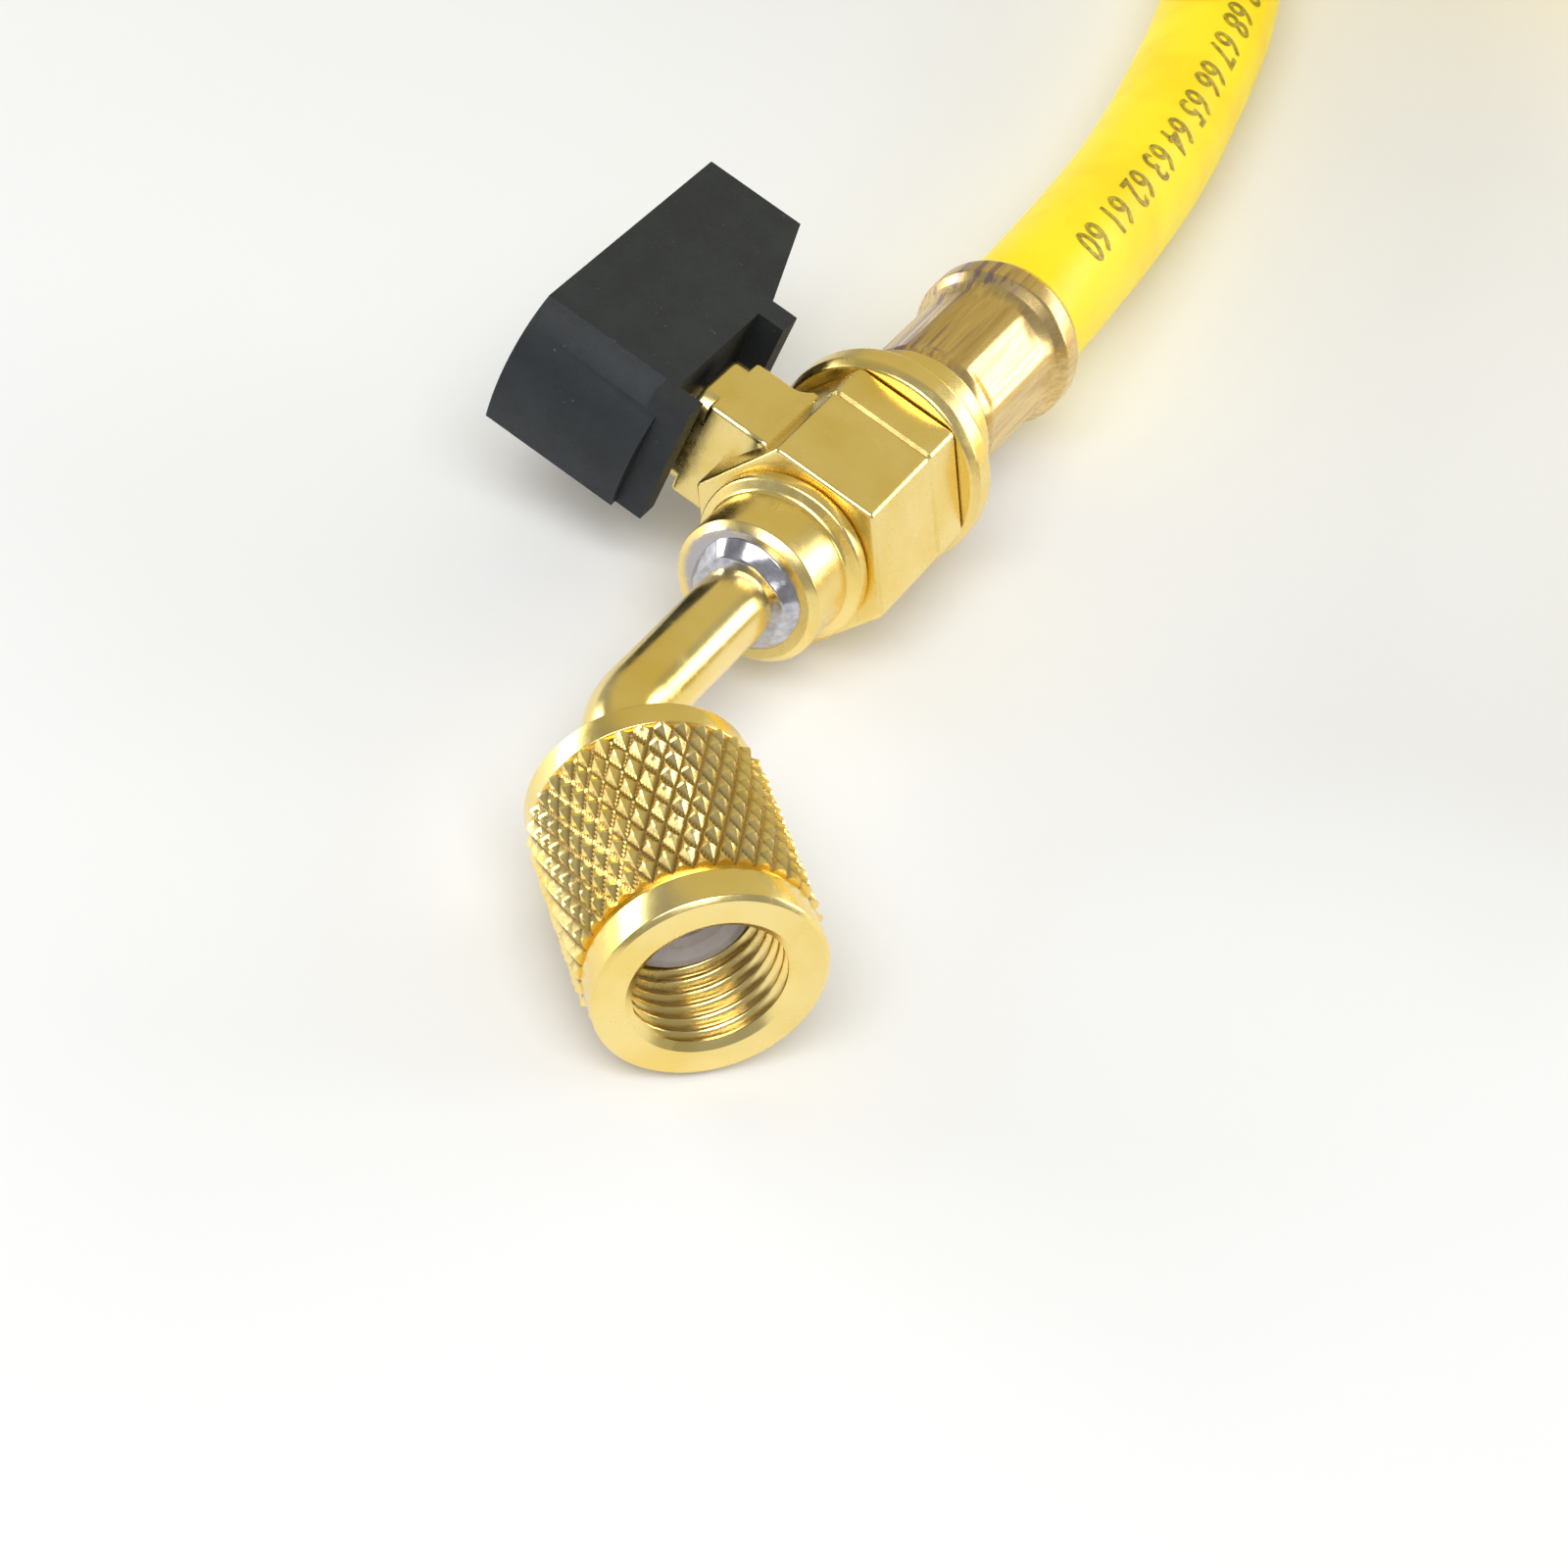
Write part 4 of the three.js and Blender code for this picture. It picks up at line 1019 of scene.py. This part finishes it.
# Ferrules
# Thin brass ferrules, rolled over the hose's ends and crimped with eight jaws, with a rounded
# bead at the hose's side. Their metal is duller and browner than the turned pieces.
FERRULE_LENGTH = 17.4
FERRULE_RADIUS = 6.45
FERRULE_WALL = 0.85
CRIMP_FLATS = 12.2
CRIMP_SIDES = 8
CRIMP_OPENS = 1.1
CRIMP_CLOSES = 1.6
CRIMP_OVERRUN = 0.4
MOUTH_BORE = 3.9
MOUTH_WALL = 1
BARREL_START = 1.2
BARREL_ROWS = 40
HOSE_ROOM = 0.12
BEAD_RADIUS = 7.4
BEAD_LENGTH = 5.2
FERRULE_BROWN = (0.80, 0.60, 0.26)
FERRULE_DEEP = (0.62, 0.43, 0.17)
FERRULE_BLUE = (0.24, 0.16, 0.32)
STREAK_ALONG = 0.12
STREAK_ACROSS = 2.2


def ferrule_shape():
    barrel_end = FERRULE_LENGTH - BEAD_LENGTH
    barrel = [(BARREL_START + (barrel_end - BARREL_START) * i / BARREL_ROWS, FERRULE_RADIUS, 0)
              for i in range(1, BARREL_ROWS)]
    hose_bore = HOSE_RADIUS / MM + HOSE_ROOM
    shape = turned(rounded([
        (0, MOUTH_BORE, 0),
        (0, FERRULE_RADIUS - 0.45, 0.3),
        (BARREL_START, FERRULE_RADIUS, 0),
        *barrel,
        (barrel_end, FERRULE_RADIUS, 0),
        (barrel_end + 0.9, FERRULE_RADIUS + 0.35, 0.5),
        (barrel_end + 1.9, BEAD_RADIUS, 0.8),
        (barrel_end + 3.9, BEAD_RADIUS, 1.2),
        (FERRULE_LENGTH, BEAD_RADIUS - 0.75, 0.35),
        (FERRULE_LENGTH, hose_bore, 0.1),
        (barrel_end + 1.4, hose_bore, 0),
        (barrel_end, FERRULE_RADIUS - FERRULE_WALL, 0),
        (MOUTH_WALL, FERRULE_RADIUS - FERRULE_WALL, 0),
        (MOUTH_WALL, MOUTH_BORE, 0),
    ], 6), 256)
    jaw = 2 * math.pi / CRIMP_SIDES
    for knot in shape.verts:
        along, y, z = knot.co
        out = math.hypot(y, z)
        off_middle = (math.atan2(z, y) + jaw / 2) % jaw - jaw / 2
        flat = CRIMP_FLATS / 2 / math.cos(off_middle)
        closed = clamped((along - BARREL_START) / CRIMP_OPENS)
        closed *= clamped((barrel_end + CRIMP_OVERRUN - along) / CRIMP_CLOSES)
        if abs(out - FERRULE_RADIUS) < 0.2 and flat < out:
            drawn_to(knot, out + (flat - out) * closed)
    return shape


def ferrule_finish(name, matrix):
    finish = Finish(name)
    place = finish.here(matrix)
    along, y, z = finish.split(place)
    drawn = finish.node("CombineXYZ", None, {
        0: along * STREAK_ALONG, 1: y * STREAK_ACROSS, 2: z * STREAK_ACROSS})
    streaks = finish.grain(drawn, 1, 4, 0.6)
    cloudy = finish.grain(place, 0.3, 3)
    colour = finish.mixed(streaks.within(0.35, 0.7), FERRULE_BROWN, FERRULE_DEEP)
    tint = finish.grain(drawn, 0.5, 2).within(0.5, 0.6) * (y + z).within(4, 8) * 0.6
    colour = finish.mixed(tint, colour, FERRULE_BLUE)
    return finish.surface(
        Base_Color=colour,
        Metallic=1.0,
        Roughness=0.2 + 0.16 * streaks,
        Normal=finish.raised(streaks, 0.012 * MM, 0.5, finish.raised(cloudy, 0.05 * MM, 0.4)),
    )


ferrule_frame = Matrix.Translation(hose_exit - Vector((FERRULE_LENGTH * MM, 0, 0)))
far_ferrule_frame = facing(-tail_way, far_foot + tail_way * FERRULE_LENGTH * MM)
laid("near_ferrule", ferrule_shape(), ferrule_frame,
     ferrule_finish("near_ferrule_brass", ferrule_frame),
     "valve", "ferrule_brass", "ferrule", "hose_end_in_ferrule")
far_ferrule = laid("far_end_ferrule", ferrule_shape(), far_ferrule_frame,
                   ferrule_finish("far_ferrule_brass", far_ferrule_frame),
                   "valve", "ferrule_brass", "far_ferrule", "hose_end_in_far_ferrule")

# Far fitting
# Straight turned brass fitting at the hose's far end: a neck ring between the ferrule and the
# nut, and the nipple inside the nut.
NUT_PLAY = 0.3
FAR_NECK_START = NUT_LENGTH + NUT_PLAY
FAR_NECK_END = FAR_NECK_START + NECK_LENGTH

far_shape = turned(rounded([
    (NIPPLE_FRONT, BARB_BORE, 0.2),
    (NIPPLE_FRONT, NIPPLE_RADIUS, 0.3),
    (NIPPLE_BACK, NIPPLE_RADIUS, 0.3),
    (NIPPLE_BACK, TUBE_RADIUS, 0.1),
    (FAR_NECK_START, TUBE_RADIUS, 0.1),
    (FAR_NECK_START, NECK_RADIUS, 0.4),
    (FAR_NECK_END, NECK_RADIUS, 0.3),
    (FAR_NECK_END, BARB_RADIUS, 0),
    (FAR_NECK_END + BARB_LENGTH, BARB_RADIUS, 0.4),
    (FAR_NECK_END + BARB_LENGTH, BARB_BORE, 0.2),
]), 128)
far_fitting = laid("far_end_fitting", far_shape, far_frame, brass("far_fitting_brass", far_frame),
                   "valve", "brass", "far_fitting")

# Inner pieces
# The ball, its seats, the stem and the screw that holds the lever: mostly out of sight inside the
# body and the lever, in plain finishes of their own.
STEEL_GREY = (0.62, 0.62, 0.63)
STEEL_BRIGHT = (0.72, 0.72, 0.73)

hidden_steel = Finish("ball_and_screw_steel")
place = hidden_steel.here()
haze = hidden_steel.grain(place, 0.8, 3)
steel = hidden_steel.surface(
    Base_Color=hidden_steel.mixed(haze, STEEL_GREY, STEEL_BRIGHT),
    Metallic=1.0,
    Roughness=0.2 + 0.2 * haze,
)
seat_plastic = seal_finish("seat_plastic", valve_frame)
stem_brass = brass("stem_brass", stem_frame)
for node, metal in (("ball", steel), ("lever_screw", steel), ("front_seat", seat_plastic),
                    ("rear_seat", seat_plastic), ("valve_stem", stem_brass)):
    mesh = frame["nodes"][node].data
    mesh.materials.clear()
    mesh.materials.append(metal)

# Table and light
# A pale white table under soft, bright studio light: a large panel behind and above the camera,
# one low on its left and one low on its right, in a grey room with an olive patch high ahead.
TABLE_SIZE = 6
TABLE_WHITE = (0.82, 0.83, 0.85)
TABLE_CLOUD = (0.84, 0.85, 0.87)
ROOM = (0.33, 0.335, 0.34)
WALL = (0.60, 0.54, 0.32)
WALL_WAY = (0.72, 0.26, 0.64)
WALL_EDGE = (0.72, 0.92)
# Azimuth and elevation in degrees, distance, width and height in metres, and power in watts
PANELS = {
    "shoulder_panel": (200, 55, 1.1, 1.0, 0.55, 10),
    "left_panel": (95, 14, 1.0, 0.9, 0.35, 5),
    "right_panel": (-40, 16, 1.1, 1.2, 0.4, 6),
}

floor_shape = bmesh.new()
bmesh.ops.create_grid(floor_shape, x_segments=1, y_segments=1, size=TABLE_SIZE / 2)
floor_mesh = bpy.data.meshes.new("table_top")
floor_shape.to_mesh(floor_mesh)
floor_shape.free()
table = bpy.data.objects.new("table_top", floor_mesh)
scene.collection.objects.link(table)
table_finish = Finish("table_paint")
place = table_finish.here()
cloudy = table_finish.grain(place, 0.02, 3)
floor_mesh.materials.append(table_finish.surface(
    Base_Color=table_finish.mixed(cloudy, TABLE_WHITE, TABLE_CLOUD),
    Roughness=0.55,
    Specular_IOR_Level=0.3,
))

world = bpy.data.worlds.new("room")
scene.world = world
room_finish = Finish("room", world)
outlook = room_finish.node("TexCoord").part("Generated")
facing_wall = room_finish.node("VectorMath", {"operation": "DOT_PRODUCT"},
                               {0: outlook, 1: WALL_WAY}).part("Value")
room_finish.surface(
    Color=room_finish.mixed(facing_wall.within(*WALL_EDGE), ROOM, WALL), Strength=1.0)

for name, (azimuth, elevation, distance, width, height, power) in PANELS.items():
    data = bpy.data.lights.new(name, "AREA")
    data.shape = "RECTANGLE"
    data.size = width
    data.size_y = height
    data.energy = power
    light = bpy.data.objects.new(name, data)
    scene.collection.objects.link(light)
    rise = math.radians(elevation)
    way = headed(math.radians(azimuth)) * math.cos(rise) + Vector((0, 0, math.sin(rise)))
    light.location = way * distance
    light.rotation_mode = "QUATERNION"
    light.rotation_quaternion = way.to_track_quat("Z", "Y")
    light.visible_camera = False
scene.view_settings.view_transform = "Standard"
scene.view_settings.look = "None"
scene.view_settings.exposure = 0
